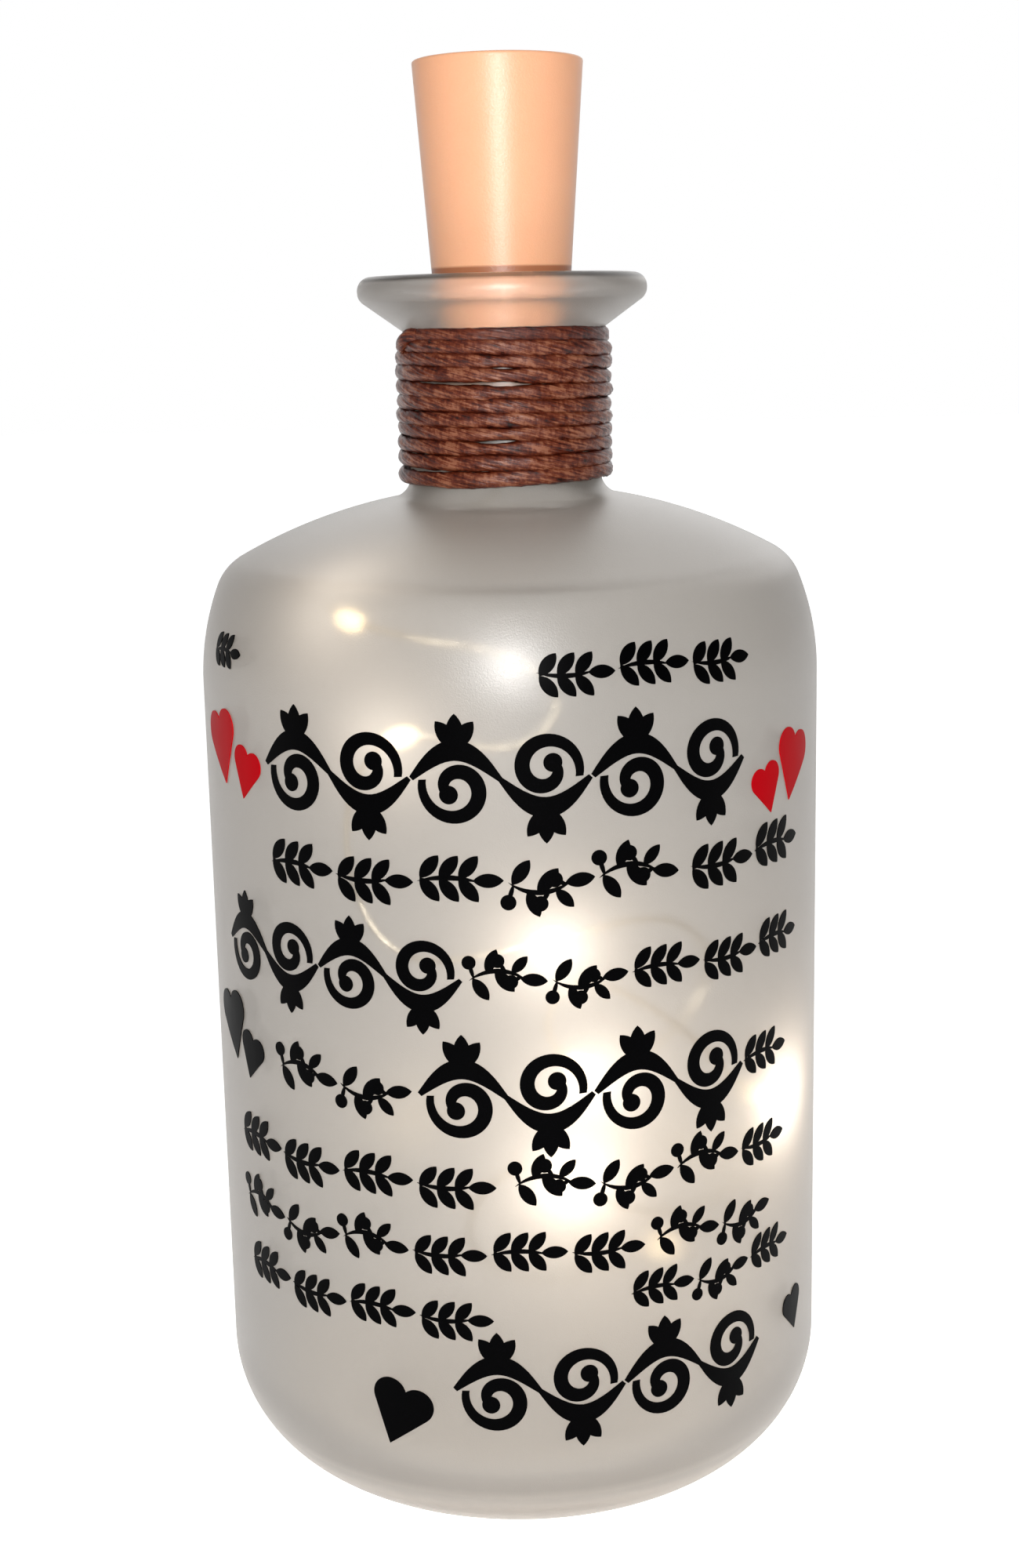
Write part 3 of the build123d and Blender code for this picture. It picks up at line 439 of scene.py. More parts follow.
def stopperPlastic():
    # satin plastic in cork colour: fine grain with paler flecks painted as glints, a slightly darker cloud,
    # faint upright draw lines, and painted shade: a darker ring just above the bottle's mouth
    s = satin
    paint = Paint("stopperPlastic")
    place = paint.place()
    cloud = paint.noise(place, *s["cloud"])
    drawn = paint.noise(paint.scaled(place, s["drawnStretch"]), *s["drawn"])
    grain = paint.noise(place, *s["grain"])
    colour = paint.mix(cloud, *s["shades"])
    height = paint.height(place)
    # painted shade: a darker ring just above the bottle's mouth
    seatShade = paint.clamped(s["ringWide"] - paint.maths("ABSOLUTE", height - s["ringAt"]) * s["ringSlope"])
    # paler flecks painted over the grain as glints
    skin = paint.mix(grain * s["paintedGlintShare"], colour, s["paintedGlint"])
    relief = grain * (1 - s["drawnShare"]) + drawn * s["drawnShare"]
    return paint.finish({
        "Base Color": paint.mix(seatShade * s["seatShadeShare"], skin, s["seatShadeTint"]),
        "Roughness": grain * s["roughSpan"] + s["rough"],
        "Specular IOR Level": s["specular"],
        "Subsurface Weight": s["under"],
        "Subsurface Radius": s["underRadius"],
        "Subsurface Scale": s["underScale"] * mm,
        "Normal": paint.bump(relief, s["deep"] * mm, 0.8),
    })


film = {
    "grain": (6500.0, 2.0, 0.7), "cloud": (220.0, 3.0, 0.5), "deep": 0.006,
    "spotsFrom": 0.52, "spotsSlope": 5.0, "spotsShare": 0.5,
    "rough": 0.26, "roughCloud": 0.12, "roughGrain": 0.10, "specular": 0.02,
}


def filmFinish(name, colour, speck):
    # cut vinyl film: satin, with a fine speckle
    f = film
    paint = Paint(name)
    place = paint.place()
    grain = paint.noise(place, *f["grain"])
    cloud = paint.noise(place, *f["cloud"])
    spots = paint.clamped((grain - f["spotsFrom"]) * f["spotsSlope"])
    return paint.finish({
        "Base Color": paint.mix(spots * f["spotsShare"], colour, speck),
        "Roughness": cloud * f["roughCloud"] + grain * f["roughGrain"] + f["rough"],
        "Specular IOR Level": f["specular"],
        "Normal": paint.bump(grain, f["deep"] * mm, 0.4),
    })


wax = {
    "crownFrom": 13.30, "crownSlope": 1.5, "hollowShadeShare": 0.9,
    "lines": (2.2, 5.0, 0.65), "fine": (9.0, 3.0, 0.65), "wrinkles": (1.8, 4.0, 0.65),
    "cloud": (0.35, 3.0, 0.6),
    "linesStretch": (0.13, 1.0, 1.0), "fineStretch": (0.07, 1.0, 1.0), "wrinklesStretch": (1.0, 0.4, 0.4),
    "shares": (0.5, 0.2, 0.3), "cloudShare": 0.2, "toneFrom": 0.40, "toneSlope": 6.5,
    "tones": [
        (0.0, (0.006, 0.0004, 0.0001)), (0.35, (0.055, 0.0060, 0.0016)),
        (0.70, (0.125, 0.024, 0.008)), (1.0, (0.25, 0.090, 0.046)),
    ],
    "rough": 0.33, "roughSpan": 0.05, "specular": 0.34, "deep": 0.20,
}


def twineFinish():
    # waxed twisted fibre: long lines along the lay, cross wrinkles, and painted shade that darkens the
    # hollows between the turns. The fibre attribute holds a point's distance along the twine and its place
    # across
    w = wax
    paint = Paint("waxedTwine")
    fibre = paint.node("Attribute", {"attribute_name": "fibre"}, out="Vector")
    level = paint.node("VectorMath", {"operation": "MULTIPLY"}, {0: paint.place(), 1: (1.0, 1.0, 0.0)})
    reach = paint.node("VectorMath", {"operation": "LENGTH"}, {0: level}, out="Value") / mm
    crownOutOfShade = paint.clamped((reach - w["crownFrom"]) * w["crownSlope"])
    lines = paint.noise(paint.scaled(fibre, w["linesStretch"]), *w["lines"])
    fine = paint.noise(paint.scaled(fibre, w["fineStretch"]), *w["fine"])
    wrinkles = paint.noise(paint.scaled(fibre, w["wrinklesStretch"]), *w["wrinkles"])
    cloud = paint.noise(fibre, *w["cloud"])
    relief = lines * w["shares"][0] + fine * w["shares"][1] + wrinkles * w["shares"][2]
    tone = relief * (1 - w["cloudShare"]) + cloud * w["cloudShare"]
    tone = paint.clamped((tone - w["toneFrom"]) * w["toneSlope"])
    # painted shade: the hollows between the turns, nearer the neck, are darker
    tone = tone * (crownOutOfShade * w["hollowShadeShare"] + (1 - w["hollowShadeShare"]))
    colour = paint.node("ValToRGB", {"stops": w["tones"]}, {"Fac": tone})
    return paint.finish({
        "Base Color": colour,
        "Roughness": w["rough"] - tone * w["roughSpan"],
        "Specular IOR Level": w["specular"],
        "Normal": paint.bump(relief, w["deep"] * mm, 1.0),
    })


metal = {
    "drawn": (2600.0, 3.0), "stretch": (1.0, 1.0, 0.15), "shade": 0.8, "roughSpan": 0.16, "deep": 0.01,
}


def metalFinish(name, colour, rough):
    # drawn metal: faint upright lines
    m = metal
    paint = Paint(name)
    place = paint.place()
    drawn = paint.noise(paint.scaled(place, m["stretch"]), *m["drawn"])
    return paint.finish({
        "Base Color": paint.mix(drawn * 0.5, colour, tuple(c * m["shade"] for c in colour)),
        "Metallic": 1.0,
        "Roughness": drawn * m["roughSpan"] + (rough - m["roughSpan"] / 2),
        "Normal": paint.bump(drawn, m["deep"] * mm, 0.4),
    })


plastic = {"grain": (3000.0, 3.0, 0.6), "paler": 1.35, "lift": 0.004, "roughSpan": 0.14, "deep": 0.015}


def mouldedPlastic(name, colour, rough=0.45):
    # a fine grain over the colour and a slightly paler one
    p = plastic
    paint = Paint(name)
    place = paint.place()
    grain = paint.noise(place, *p["grain"])
    pale = tuple(min(1.0, c * p["paler"] + p["lift"]) for c in colour)
    return paint.finish({
        "Base Color": paint.mix(grain * 0.5, colour, pale),
        "Roughness": grain * p["roughSpan"] + (rough - p["roughSpan"] / 2),
        "Normal": paint.bump(grain, p["deep"] * mm, 0.5),
    })


resin = {"colour": (1.0, 0.80, 0.50), "grain": (900.0, 2.0), "shade": 0.9, "rough": 0.2, "roughSpan": 0.1}


def lightFinish(name, colour, strength):
    # clear resin over a lit chip: it glows in the light's colour
    r = resin
    paint = Paint(name)
    grain = paint.noise(paint.place(), *r["grain"])
    return paint.finish({
        "Base Color": paint.mix(grain, colour, tuple(c * r["shade"] for c in colour)),
        "Roughness": grain * r["roughSpan"] + r["rough"],
        "Emission Color": colour,
        "Emission Strength": strength,
    })


frosted, clear = frostedGlass(), clearGlass()
cork = stopperPlastic()
blackFilm = filmFinish("blackFilm", (0.0003, 0.0003, 0.0004), (0.0025, 0.0022, 0.0035))
redFilm = filmFinish("redFilm", (0.44, 0.0002, 0.004), (0.52, 0.0006, 0.010))
twinePaint = twineFinish()
nickel = metalFinish("nickel", (0.66, 0.64, 0.60), 0.28)
cellSteel = metalFinish("cellSteel", (0.70, 0.70, 0.71), 0.22)
zinc = metalFinish("zincSteel", (0.62, 0.62, 0.60), 0.38)
silver = metalFinish("silverWire", (0.80, 0.74, 0.62), 0.34)
blackPlastic = mouldedPlastic("blackPlastic", (0.016, 0.016, 0.018))
sealPlastic = mouldedPlastic("sealPlastic", (0.045, 0.045, 0.05), 0.5)
laminate = mouldedPlastic("boardLaminate", (0.02, 0.17, 0.06), 0.35)
ceramic = mouldedPlastic("chipCeramic", (0.03, 0.03, 0.03), 0.4)
softRubber = mouldedPlastic("softRubber", (0.72, 0.36, 0.18), 0.55)
print("materials: made")


# Bottle

bottle = {
    "bodyR": 41.1, "height": 160.0, "wall": 2.4, "floor": 4.0, "punt": 1.4, "stand": 4.6,
    "footR": 5.2, "heelR": 16.9, "footTurn": 60.4, "innerHeelR": 12.0,
    "shoulderDrop": 52.0, "arcRadii": (34.2, 6.7, 70.0), "arcTurns": (21.8, 61.4),
    "neckR": 12.6, "neckFillet": 3.0, "lipR": 18.9, "lipEdge": 2.9, "lipCone": 4.5,
    "lipRounds": (0.7, 1.8, 1.8), "mouthRound": 0.4, "seatDeep": 6.0, "mouthR": 9.13, "boreR": 8.702,
    "steps": 224, "chainSteps": (14, 14, 22, 12), "lipSteps": 10,
    "footSteps": 10, "heelSteps": 22, "wallSteps": 26,
    "innerHeelSteps": 16, "innerWallSteps": 8, "boreSteps": 4, "seatSteps": 3, "mouthSteps": 6,
    # how far a straight run starts from the last point before it
    "lipApart": 0.01, "wallApart": 1.0, "boreApart": 0.5, "seatApart": 0.05,
}


def shoulderChain(depth, neckR, fillet):
    # tangent arcs from the wall over the shoulder into the neck, all at one depth under the surface
    first, second, third = bottle["arcRadii"]
    turnA, turnB = bottle["arcTurns"]
    centreA = np.array([bottle["bodyR"] - first, bottle["height"] - bottle["shoulderDrop"]])
    centreB = centreA + polar(first - second, turnA)
    centreC = centreB + polar(second - third, turnB)
    reach = third - depth + fillet
    turnC = math.degrees(math.acos((neckR + fillet - centreC[0]) / reach))
    centreD = centreC + polar(reach, turnC)
    steps = bottle["chainSteps"]
    parts = [
        arc(centreA, first - depth, 0, turnA, steps[0]),
        arc(centreB, second - depth, turnA, turnB - turnA, steps[1]),
        arc(centreC, third - depth, turnB, turnC - turnB, steps[2]),
        arc(centreD, fillet, 180 + turnC, -turnC, steps[3]),
    ]
    return np.concatenate([part[1:] for part in parts]), centreD


def dome(width, base, rise, count=12):
    # a shallow arc from its top on the axis out to the base height
    radius = (width ** 2 + rise ** 2) / (2 * rise)
    reach = np.linspace(0, width, count)
    return np.stack([reach, base + rise - radius + np.sqrt(radius ** 2 - reach ** 2)], 1)


def bottleProfile():
    b = bottle
    top = b["height"]
    wallTop, seatLow, mouthLow = top - b["shoulderDrop"], top - b["seatDeep"], top - b["mouthRound"]
    heelRise = (b["heelR"] - b["footR"]) * math.sin(math.radians(b["footTurn"]))
    heel = np.array([b["bodyR"] - b["heelR"], b["footR"] + heelRise])
    foot = heel + polar(b["heelR"] - b["footR"], -b["footTurn"])
    outerChain, neckCentre = shoulderChain(0.0, b["neckR"], b["neckFillet"])
    coneLow, coneTop = top - b["lipEdge"] - b["lipCone"], top - b["lipEdge"]
    mouthOut = b["mouthR"] + b["mouthRound"]
    lip = rounded([(b["neckR"], neckCentre[1] + b["lipApart"]), (b["neckR"], coneLow), (b["lipR"], coneTop),
                   (b["lipR"], top), (mouthOut, top)], b["lipRounds"], b["lipSteps"])
    outside = np.concatenate([
        dome(foot[0] - b["stand"], 0, b["punt"]),
        arc(foot, b["footR"], -90, 90 - b["footTurn"], b["footSteps"]),
        arc(heel, b["heelR"], -b["footTurn"], b["footTurn"], b["heelSteps"])[1:],
        straight((b["bodyR"], heel[1] + b["wallApart"]), (b["bodyR"], wallTop), b["wallSteps"]),
        outerChain,
        lip,
    ])
    inR = b["bodyR"] - b["wall"]
    innerHeel = np.array([inR - b["innerHeelR"], b["floor"] + b["innerHeelR"]])
    innerFillet = b["neckFillet"] + b["neckR"] - b["boreR"]
    innerChain, innerNeck = shoulderChain(b["wall"], b["boreR"], innerFillet)
    inside = np.concatenate([
        dome(innerHeel[0], b["floor"], b["punt"]),
        arc(innerHeel, b["innerHeelR"], -90, 90, b["innerHeelSteps"])[1:],
        straight((inR, innerHeel[1] + b["wallApart"]), (inR, wallTop), b["innerWallSteps"]),
        innerChain,
        straight((b["boreR"], innerNeck[1] + b["boreApart"]), (b["boreR"], seatLow), b["boreSteps"]),
        straight((b["boreR"], seatLow + b["seatApart"]), (b["mouthR"], mouthLow), b["seatSteps"]),
        arc(np.array([mouthOut, mouthLow]), b["mouthRound"], 180, -90, b["mouthSteps"])[1:-1],
    ])
    return np.concatenate([outside, inside[::-1]]), len(outside)


profile, frostedRows = bottleProfile()
bottleGlass = turned("bottle", profile, bottle["steps"], [frosted, clear], split=frostedRows + 1)
dressed(bottleGlass, "bottle", "frosted_glass", "bottle_glass")
print(f"bottle: {len(profile)} profile points")


# Twine

twine = {
    "start": 100.0, "turns": 10.75,
    "heights": {
        -10: (135.0, 136.75, 138.5, 140.15, 141.7, 143.2, 145.0, 146.9, 148.7, 150.4, 152.2),
        -90: (134.2, 136.2, 138.1, 140.05, 141.8, 143.6, 145.2, 147.2, 149.1, 150.9, 152.7),
        -170: (134.6, 136.7, 138.7, 140.55, 142.4, 144.2, 146.0, 148.0, 149.7, 151.2, 152.6),
    },
    "meanTurns": 0.12, "meanCount": 9,
    "deep": 1.62, "tall": 2.04, "step": 0.36, "slack": 1.08, "around": 36, "crowded": 0.42,
    "plies": ((2, 0.050), (5, 0.052), (9, 0.042), (14, 0.028)), "twist": 0.32,
    # short narrow places that part the turns: at which turn, and half their width in turns
    "slits": ((7.53, 0.030), (8.53, 0.026), (6.53, 0.034), (3.53, 0.026), (2.55, 0.030), (8.375, 0.022)),
    "slitDepth": 0.30, "press": 0.98, "filletTop": 135.0, "filletRise": 0.20,
    "startTurns": 0.06, "startIn": 0.9,
    "endTurns": 0.07, "endDrop": 2.2, "endOut": 0.85, "endIn": 1.1, "lastTurns": 1.6, "lastSqueeze": 0.20,
    # uneven lines: size, seed, and the pitch and share of each sine
    "climb": (0.16, 4, ((5.3, 0.5), (9.7, 0.5), (17.0, 0.35), (29.0, 0.25), (47.0, 0.12))),
    "deepWaves": (0.06, 12, ((4.0, 0.6), (13.0, 0.5), (41.0, 0.4))),
    "tallWaves": (0.06, 21, ((7.0, 0.6), (19.0, 0.5), (37.0, 0.5))),
    "wrinkles": (0.014, 71, ((1.0, 0.8), (1.7, 0.7), (3.1, 0.6))),
    "wrinklePitch": 1.9, "wrinkleAround": 0.8,
    "driftPitch": 0.35, "driftSeed": 40, "driftTerms": ((1.0, 1.2), (2.7, 0.7)),
    "swellPitch": 0.6, "swellSeed": 60, "swellTerms": ((1.0, 0.7), (2.3, 0.5)), "swell": 0.35,
}


def smoothSteps(x):
    x = np.clip(x, 0, 1)
    return x * x * (3 - 2 * x)


def waves(x, size, seed, terms):
    # a smooth uneven line: sines of rising pitch with phases drawn from a seed
    phases = np.random.default_rng(seed).uniform(0, 2 * math.pi, len(terms))
    return size * sum(share * np.sin(pitch * x + phase) for (pitch, share), phase in zip(terms, phases))


def twineHeights(turn):
    # each turn passes three bearings at heights of its own. Straight lines join these heights, and a mean
    # over a little way ahead and behind takes off the corners
    t = twine
    passes, heights = [], []
    for bearing, listed in t["heights"].items():
        passes += [(t["start"] - bearing) / 360 + k for k in range(len(listed))]
        heights += listed
    order = np.argsort(passes)
    passes, heights = np.array(passes)[order], np.array(heights)[order]
    near = turn[:, None] + np.linspace(-t["meanTurns"], t["meanTurns"], t["meanCount"])[None, :]
    edge = np.clip(near, passes[0], passes[-1])
    slope = (heights[-1] - heights[0]) / (passes[-1] - passes[0])
    return (np.interp(edge, passes, heights) + (near - edge) * slope).mean(1)


def makeTwine():
    # a winding that climbs clockwise, pressed on the neck and thinner in its last turns. Its end bulges
    # out, drops and tucks in
    t = twine
    count = int(2 * math.pi * bottle["neckR"] * t["slack"] * t["turns"] / t["step"])
    turn = np.linspace(0, t["turns"], count)
    angle = np.radians(t["start"] - 360 * turn)
    end = smoothSteps((turn - (t["turns"] - t["endTurns"])) / t["endTurns"])
    height = twineHeights(turn) - t["endDrop"] * end
    height += waves(turn, *t["climb"])
    pinch = sum(np.exp(-((turn - place) / span) ** 2) for place, span in t["slits"]) * t["slitDepth"]
    squeeze = t["lastSqueeze"] * smoothSteps(turn - (t["turns"] - t["lastTurns"])) * (1 - end)
    deep = t["deep"] / 2 * (1 + waves(turn, *t["deepWaves"]) - squeeze)
    tall = t["tall"] / 2 * (1 + waves(turn, *t["tallWaves"]) - pinch)
    fillet = np.maximum(t["filletTop"] - height, 0)
    away = bottle["neckR"] + deep * t["press"] + fillet ** 2 * t["filletRise"]
    away += t["endOut"] * np.sin(math.pi * np.sqrt(end)) - t["endIn"] * smoothSteps(end * 3 - 2)
    away -= t["startIn"] * smoothSteps(1 - turn / t["startTurns"])
    line = np.stack([away * np.cos(angle), away * np.sin(angle), height], 1)
    along = unit(np.gradient(line, axis=0))
    outward = np.stack([np.cos(angle), np.sin(angle), 0 * angle], 1)
    side = unit(outward - along * np.sum(outward * along, 1, keepdims=True))
    up = np.cross(along, side)
    distance = measured(line)[:, None]
    even = np.linspace(0, 2 * math.pi, t["around"], endpoint=False)
    around = (even - t["crowded"] * np.sin(even))[None, :]  # the points crowd on the side that shows
    laid = around - t["twist"] * distance
    relief = 0 * laid
    for k, (plies, size) in enumerate(t["plies"]):
        drift = waves(distance * t["driftPitch"], 1.0, t["driftSeed"] + k, t["driftTerms"])
        swell = waves(distance * t["swellPitch"], t["swell"], t["swellSeed"] + k, t["swellTerms"])
        relief = relief + size * (1 - t["swell"] + swell) * np.sin(laid * plies + drift)
    crossed = distance * t["wrinklePitch"] + t["wrinkleAround"] * np.sin(around)
    relief = relief + waves(crossed, *t["wrinkles"])
    deep, tall = deep[:, None], tall[:, None]
    section = deep * tall / np.hypot(tall * np.cos(around), deep * np.sin(around))  # an ellipse
    points = tubeGrid(line, side, up, section * (1 + relief), around[0])
    half = t["tall"] / 2
    fibre = np.stack([distance + 0 * laid, half * np.cos(laid), half * np.sin(laid)], -1)
    faces = tubeFaces(count, t["around"])
    return meshPiece("neckTwine", points * mm, faces, [twinePaint], fibre=fibre.reshape(-1, 3))


dressed(makeTwine(), "bottle", "waxed_twine", "neck_twine")
print("twine: wound")


# Light string

def twistedWire(name, route):
    # two strands twisted together: the outline across is two lobes that turn along the wire
    s = string
    long = measured(route)[-1]
    count = int(long / s["meshStep"])
    line = pointsAt(route, np.linspace(0, long, count))
    along, side, up = carriedFrames(line)
    around = np.linspace(0, 2 * math.pi, s["around"], endpoint=False)[None, :]
    laid = around - measured(line)[:, None] / s["twist"] * math.pi
    rings = s["thick"] / 2 * (1 - s["lobe"] + s["lobe"] * np.abs(np.cos(laid)))
    points = tubeGrid(line, side, up, rings, s["around"])
    return meshPiece(name, points * mm, tubeFaces(count, s["around"]), [silver]), line


def beadShape(centre, along, side, up):
    # a resin drop: radius follows a half ellipse along the wire, down to the wire at both ends
    s = string
    count = s["beadRings"]
    share = np.linspace(-1, 1, count)
    radius = np.maximum(s["beadR"] * np.sqrt(np.maximum(1 - share ** 2, 0)), s["thick"] * s["beadGrip"])
    line = centre + along * (share * s["beadLong"] / 2)[:, None]
    sides, ups = np.tile(side, (count, 1)), np.tile(up, (count, 1))
    return tubeGrid(line, sides, ups, radius[:, None], s["beadAround"])


resinGlow = lightFinish("resinGlow", resin["colour"], string["glow"])
lightWire, wireLine = twistedWire("lightWire", stringLine)
wireWays, wireSides, wireUps = carriedFrames(wireLine)
beadPoints, beadFaces = [], []
oneBead = tubeFaces(string["beadRings"], string["beadAround"])
for place in lightPlaces:
    k = int(round(place / stringLong * (len(wireLine) - 1)))
    first = len(beadPoints) * string["beadRings"] * string["beadAround"]
    beadPoints.append(beadShape(wireLine[k], wireWays[k], wireSides[k], wireUps[k]).reshape(-1, 3))
    beadFaces += [[v + first for v in face] for face in oneBead]
lightBeads = meshPiece("lightBeads", np.concatenate(beadPoints) * mm, beadFaces, [resinGlow])
for piece, slotName, replaced in ((lightWire, "silver_wire", ["light_wire"]),
                                  (lightBeads, "clear_resin", ["light_beads", "light_chips"])):
    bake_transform(piece)
    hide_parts(*replaced)
print("light string: laid")


# Lead inside the stopper, from the light string's end up its lane to the board, with a spare loop

lead = {"lane": 6.4, "loop": 6.2, "loopAt": 30, "shelf": 149.24, "dips": (1.3, 1.9, 1.8, 0.8),
        "top": 179.6, "low": 143.8}


def makeLead():
    lane, loop, shelf, dips = lead["lane"], lead["loop"], lead["shelf"], lead["dips"]
    x, y = polar(loop, lead["loopAt"])
    route = [(0, lane, lead["top"]), (0, lane, shelf + loop), (0, lane, shelf), (-x, y, shelf - dips[0]),
             (-x, -y, shelf - dips[1]), (0, -loop, shelf - dips[2]), (x, -y, shelf - dips[3]),
             (x * 2 / 3, y * 2 / 3, shelf), (0, 0, shelf - dips[3]), (0, 0, lead["low"])]
    piece = twistedWire("leadWire", smoothLine(route))[0]
    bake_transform(piece)
    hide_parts("lead_wire")


makeLead()
print("lead: laid")


# Stopper

stopper = {
    "low": 141.7, "high": 186.7, "seatR": 9.08, "taper": 0.0714, "wall": 1.2, "floor": 1.5, "hole": 1.6,
    "ledgeTop": 184.3, "ledge": 1.0, "ledgeIn": 8.715,
    "rounds": (0.6, 0.35, 0.25, 0.1, 0.08, 0.08, 0.1, 0.3), "notch": 1.4, "notchBand": 1.6,
    "roundSteps": 7, "longStep": 1.2, "steps": 160,
}


def stopperR(z):
    return stopper["seatR"] + stopper["taper"] * (z - bottle["height"])


def makeStopper():
    s = stopper
    low, high, wall = s["low"], s["high"], s["wall"]
    floorTop = low + s["floor"]
    ledgeLow = s["ledgeTop"] - s["ledge"]
    walls = [(s["hole"], low), (stopperR(low), low), (stopperR(high), high),
             (stopperR(high) - wall, high),
             (stopperR(s["ledgeTop"]) - wall, s["ledgeTop"]), (s["ledgeIn"], s["ledgeTop"]),
             (s["ledgeIn"], ledgeLow), (stopperR(ledgeLow) - wall, ledgeLow),
             (stopperR(floorTop) - wall, floorTop), (s["hole"], floorTop)]
    outline = rounded(walls, s["rounds"], s["roundSteps"])
    dense = [outline[:1]]
    for first, last in zip(outline, outline[1:]):
        count = max(2, int(np.linalg.norm(last - first) / s["longStep"]))
        dense.append(straight(first, last, count)[1:])
    outline = np.concatenate(dense)
    piece = turned("stopperShell", outline, s["steps"], [cork])
    points = np.empty(len(piece.data.vertices) * 3)
    piece.data.vertices.foreach_get("co", points)
    points = points.reshape(-1, 3) / mm
    # a round pry notch in the rim, at the back
    dip = np.sqrt(np.maximum(s["notch"] ** 2 - points[:, 0] ** 2, 0))
    near = (points[:, 1] > 0) & (points[:, 2] > high - s["notchBand"])
    points[:, 2] = np.where(near, np.minimum(points[:, 2], high - dip), points[:, 2])
    piece.data.vertices.foreach_set("co", (points * mm).ravel())
    piece.data.update()
    return piece


dressed(makeStopper(), "stopper", "stopper_plastic", "stopper_shell")
print("stopper: turned")


# Finishes of the construction's own pieces

for name, material in {
    "vinyl_laurels": blackFilm, "vinyl_berry_sprigs": blackFilm, "vinyl_vines": blackFilm,
    "vinyl_black_hearts": blackFilm, "vinyl_red_hearts": redFilm,
    "wire_grommet": softRubber, "stopper_cap": cork, "cap_screws": zinc, "battery_holder": blackPlastic,
    "contact_spring": nickel, "negative_strap": nickel, "contact_plate": nickel, "circuit_board": laminate,
    "resistor": ceramic, "switch_base": blackPlastic, "switch_cover": nickel, "switch_pins": nickel,
    "switch_knob": blackPlastic, "wire_end_sleeve": softRubber,
    "cell_can_1": cellSteel, "cell_can_2": cellSteel, "cell_can_3": cellSteel,
    "cell_cap_1": cellSteel, "cell_cap_2": cellSteel, "cell_cap_3": cellSteel,
    "cell_seal_1": sealPlastic, "cell_seal_2": sealPlastic, "cell_seal_3": sealPlastic,
}.items():
    nodes[name].data.materials.clear()
    nodes[name].data.materials.append(material)


# Stage, lights and camera

studio = {
    "cameraPlace": (-0.4, -292.7, 154.26), "pitch": 11.98, "roll": -1.23, "nearest": 0.01,
    "sensor": 36.0, "focal": 2792.0 / 2000.0,  # a share of the picture's tall side
    "paper": 0.86, "paperSeen": 0.72, "paperHalf": 3.0,
    "worldFill": 0.17, "backSlope": 1.6, "backFrom": 0.5, "riseSlope": 1.5, "riseTop": 1.4,
    "flash": ((0.0, -0.31, 0.18), 0.06, 0.88, (0, 0, 0.09)),  # place, size, power, aim
    "sun": (-20.0, 35.0, 70.0, 0.42), "backSun": (165.0, 50.0, 70.0, 0.85),  # side, down, spread, strength
}


def seenBy(paint, *rays):
    # 1 for the kinds of ray that are named, 0 for the rest
    paths = [paint.node("LightPath", out=f"Is {ray} Ray") for ray in rays]
    return paint.clamped(sum(paths[1:], paths[0]))


def paperFloor():
    # near white to the camera, to gloss and through the glass, and darker where the object shades it
    paint = Paint("paper")
    lit = paint.node("BsdfDiffuse", {}, {"Color": (studio["paper"],) * 3})
    white = paint.node("Emission", {}, {"Color": (1.0, 1.0, 1.0), "Strength": studio["paperSeen"]})
    both = paint.node("AddShader", {}, {0: lit, 1: white})
    return paint.show(paint.node("MixShader", {}, {
        0: seenBy(paint, "Camera", "Glossy", "Transmission"), 1: lit, 2: both}))


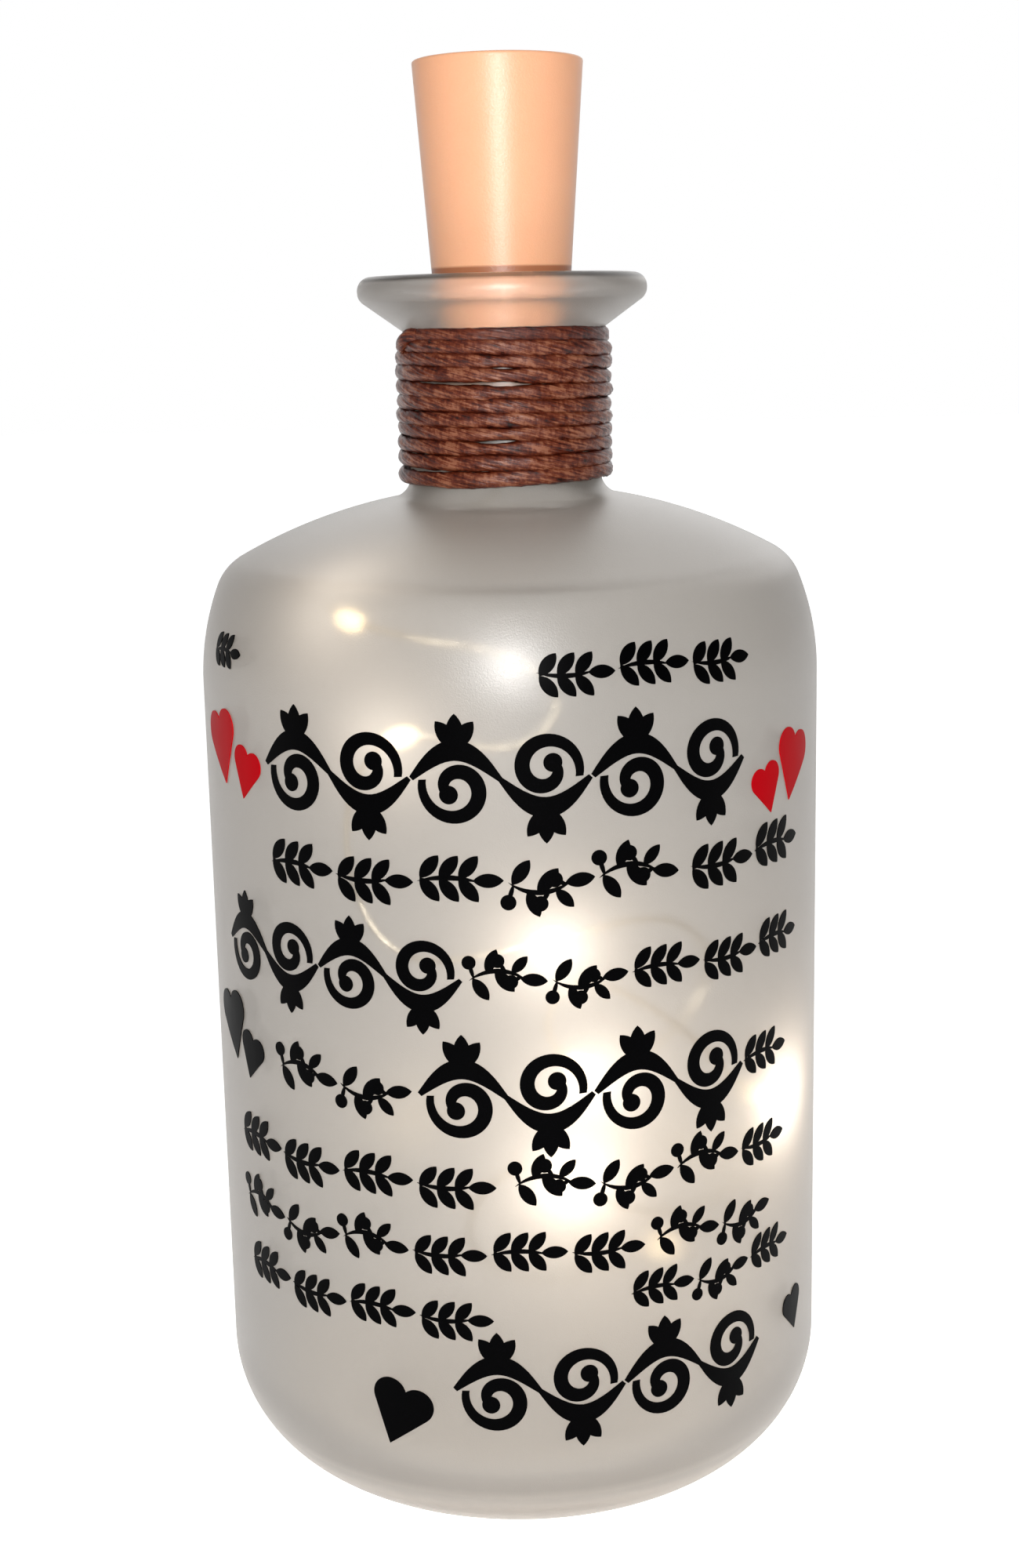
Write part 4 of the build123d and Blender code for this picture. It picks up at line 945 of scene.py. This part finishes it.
def studioWorld():
    # the backdrop is white to the camera and through glass. Gloss sees it white at the back, and only as
    # bright as the room overhead, at the sides and behind the camera
    paint = Paint("studioWorld", world=True)
    way = paint.node("TexCoord", out="Generated")
    back = paint.node("SeparateXYZ", {}, {0: way}, out="Y")
    rise = paint.node("SeparateXYZ", {}, {0: way}, out="Z")
    backdrop = paint.clamped(back * studio["backSlope"] - studio["backFrom"])
    backdrop = backdrop * paint.clamped(studio["riseTop"] - rise * studio["riseSlope"])
    white = paint.clamped(seenBy(paint, "Camera", "Transmission") + seenBy(paint, "Glossy") * backdrop)
    fill = studio["worldFill"]
    strength = white * (1 - fill) + fill
    return paint.show(paint.node("Background", {}, {"Color": (1.0, 1.0, 1.0), "Strength": strength}))


def makeStage():
    half = studio["paperHalf"]
    corners = np.array([[-half, -half, 0], [half, -half, 0], [half, half, 0], [-half, half, 0]])
    meshPiece("paperSheet", corners, [[0, 1, 2, 3]], [paperFloor()])
    bpy.context.scene.world = studioWorld()


def softLamp(name, place, size, power, aim):
    # a disc of light that faces its aim
    data = bpy.data.lights.new(name, "AREA")
    data.shape, data.size, data.energy = "DISK", size, power
    lamp = bpy.data.objects.new(name, data)
    bpy.context.scene.collection.objects.link(lamp)
    way = np.array(place) - np.array(aim)
    lamp.location = place
    lamp.rotation_euler = (math.acos(way[2] / np.linalg.norm(way)), 0, math.atan2(way[0], -way[1]))
    lamp.visible_camera = False


def softSun(name, side, down, spread, strength):
    # an even light from far off, so that the whole floor is lit alike
    data = bpy.data.lights.new(name, "SUN")
    data.angle, data.energy = math.radians(spread), strength
    lamp = bpy.data.objects.new(name, data)
    bpy.context.scene.collection.objects.link(lamp)
    lamp.rotation_euler = (math.radians(down), 0, math.radians(side))


def makeCamera():
    data = bpy.data.cameras.new("camera")
    data.sensor_width, data.clip_start = studio["sensor"], studio["nearest"]
    data.lens = studio["focal"] * studio["sensor"]
    camera = bpy.data.objects.new("camera", data)
    bpy.context.scene.collection.objects.link(camera)
    turn = Matrix.Rotation(math.radians(90 - studio["pitch"]), 4, "X")
    turn @= Matrix.Rotation(math.radians(studio["roll"]), 4, "Z")
    camera.matrix_world = Matrix.Translation([c * mm for c in studio["cameraPlace"]]) @ turn
    bpy.context.scene.camera = camera


makeStage()
softLamp("flashLamp", *studio["flash"])
softSun("sunLamp", *studio["sun"])
softSun("backSunLamp", *studio["backSun"])
makeCamera()
bpy.context.scene.view_settings.view_transform = "Standard"
print("stage: ready")
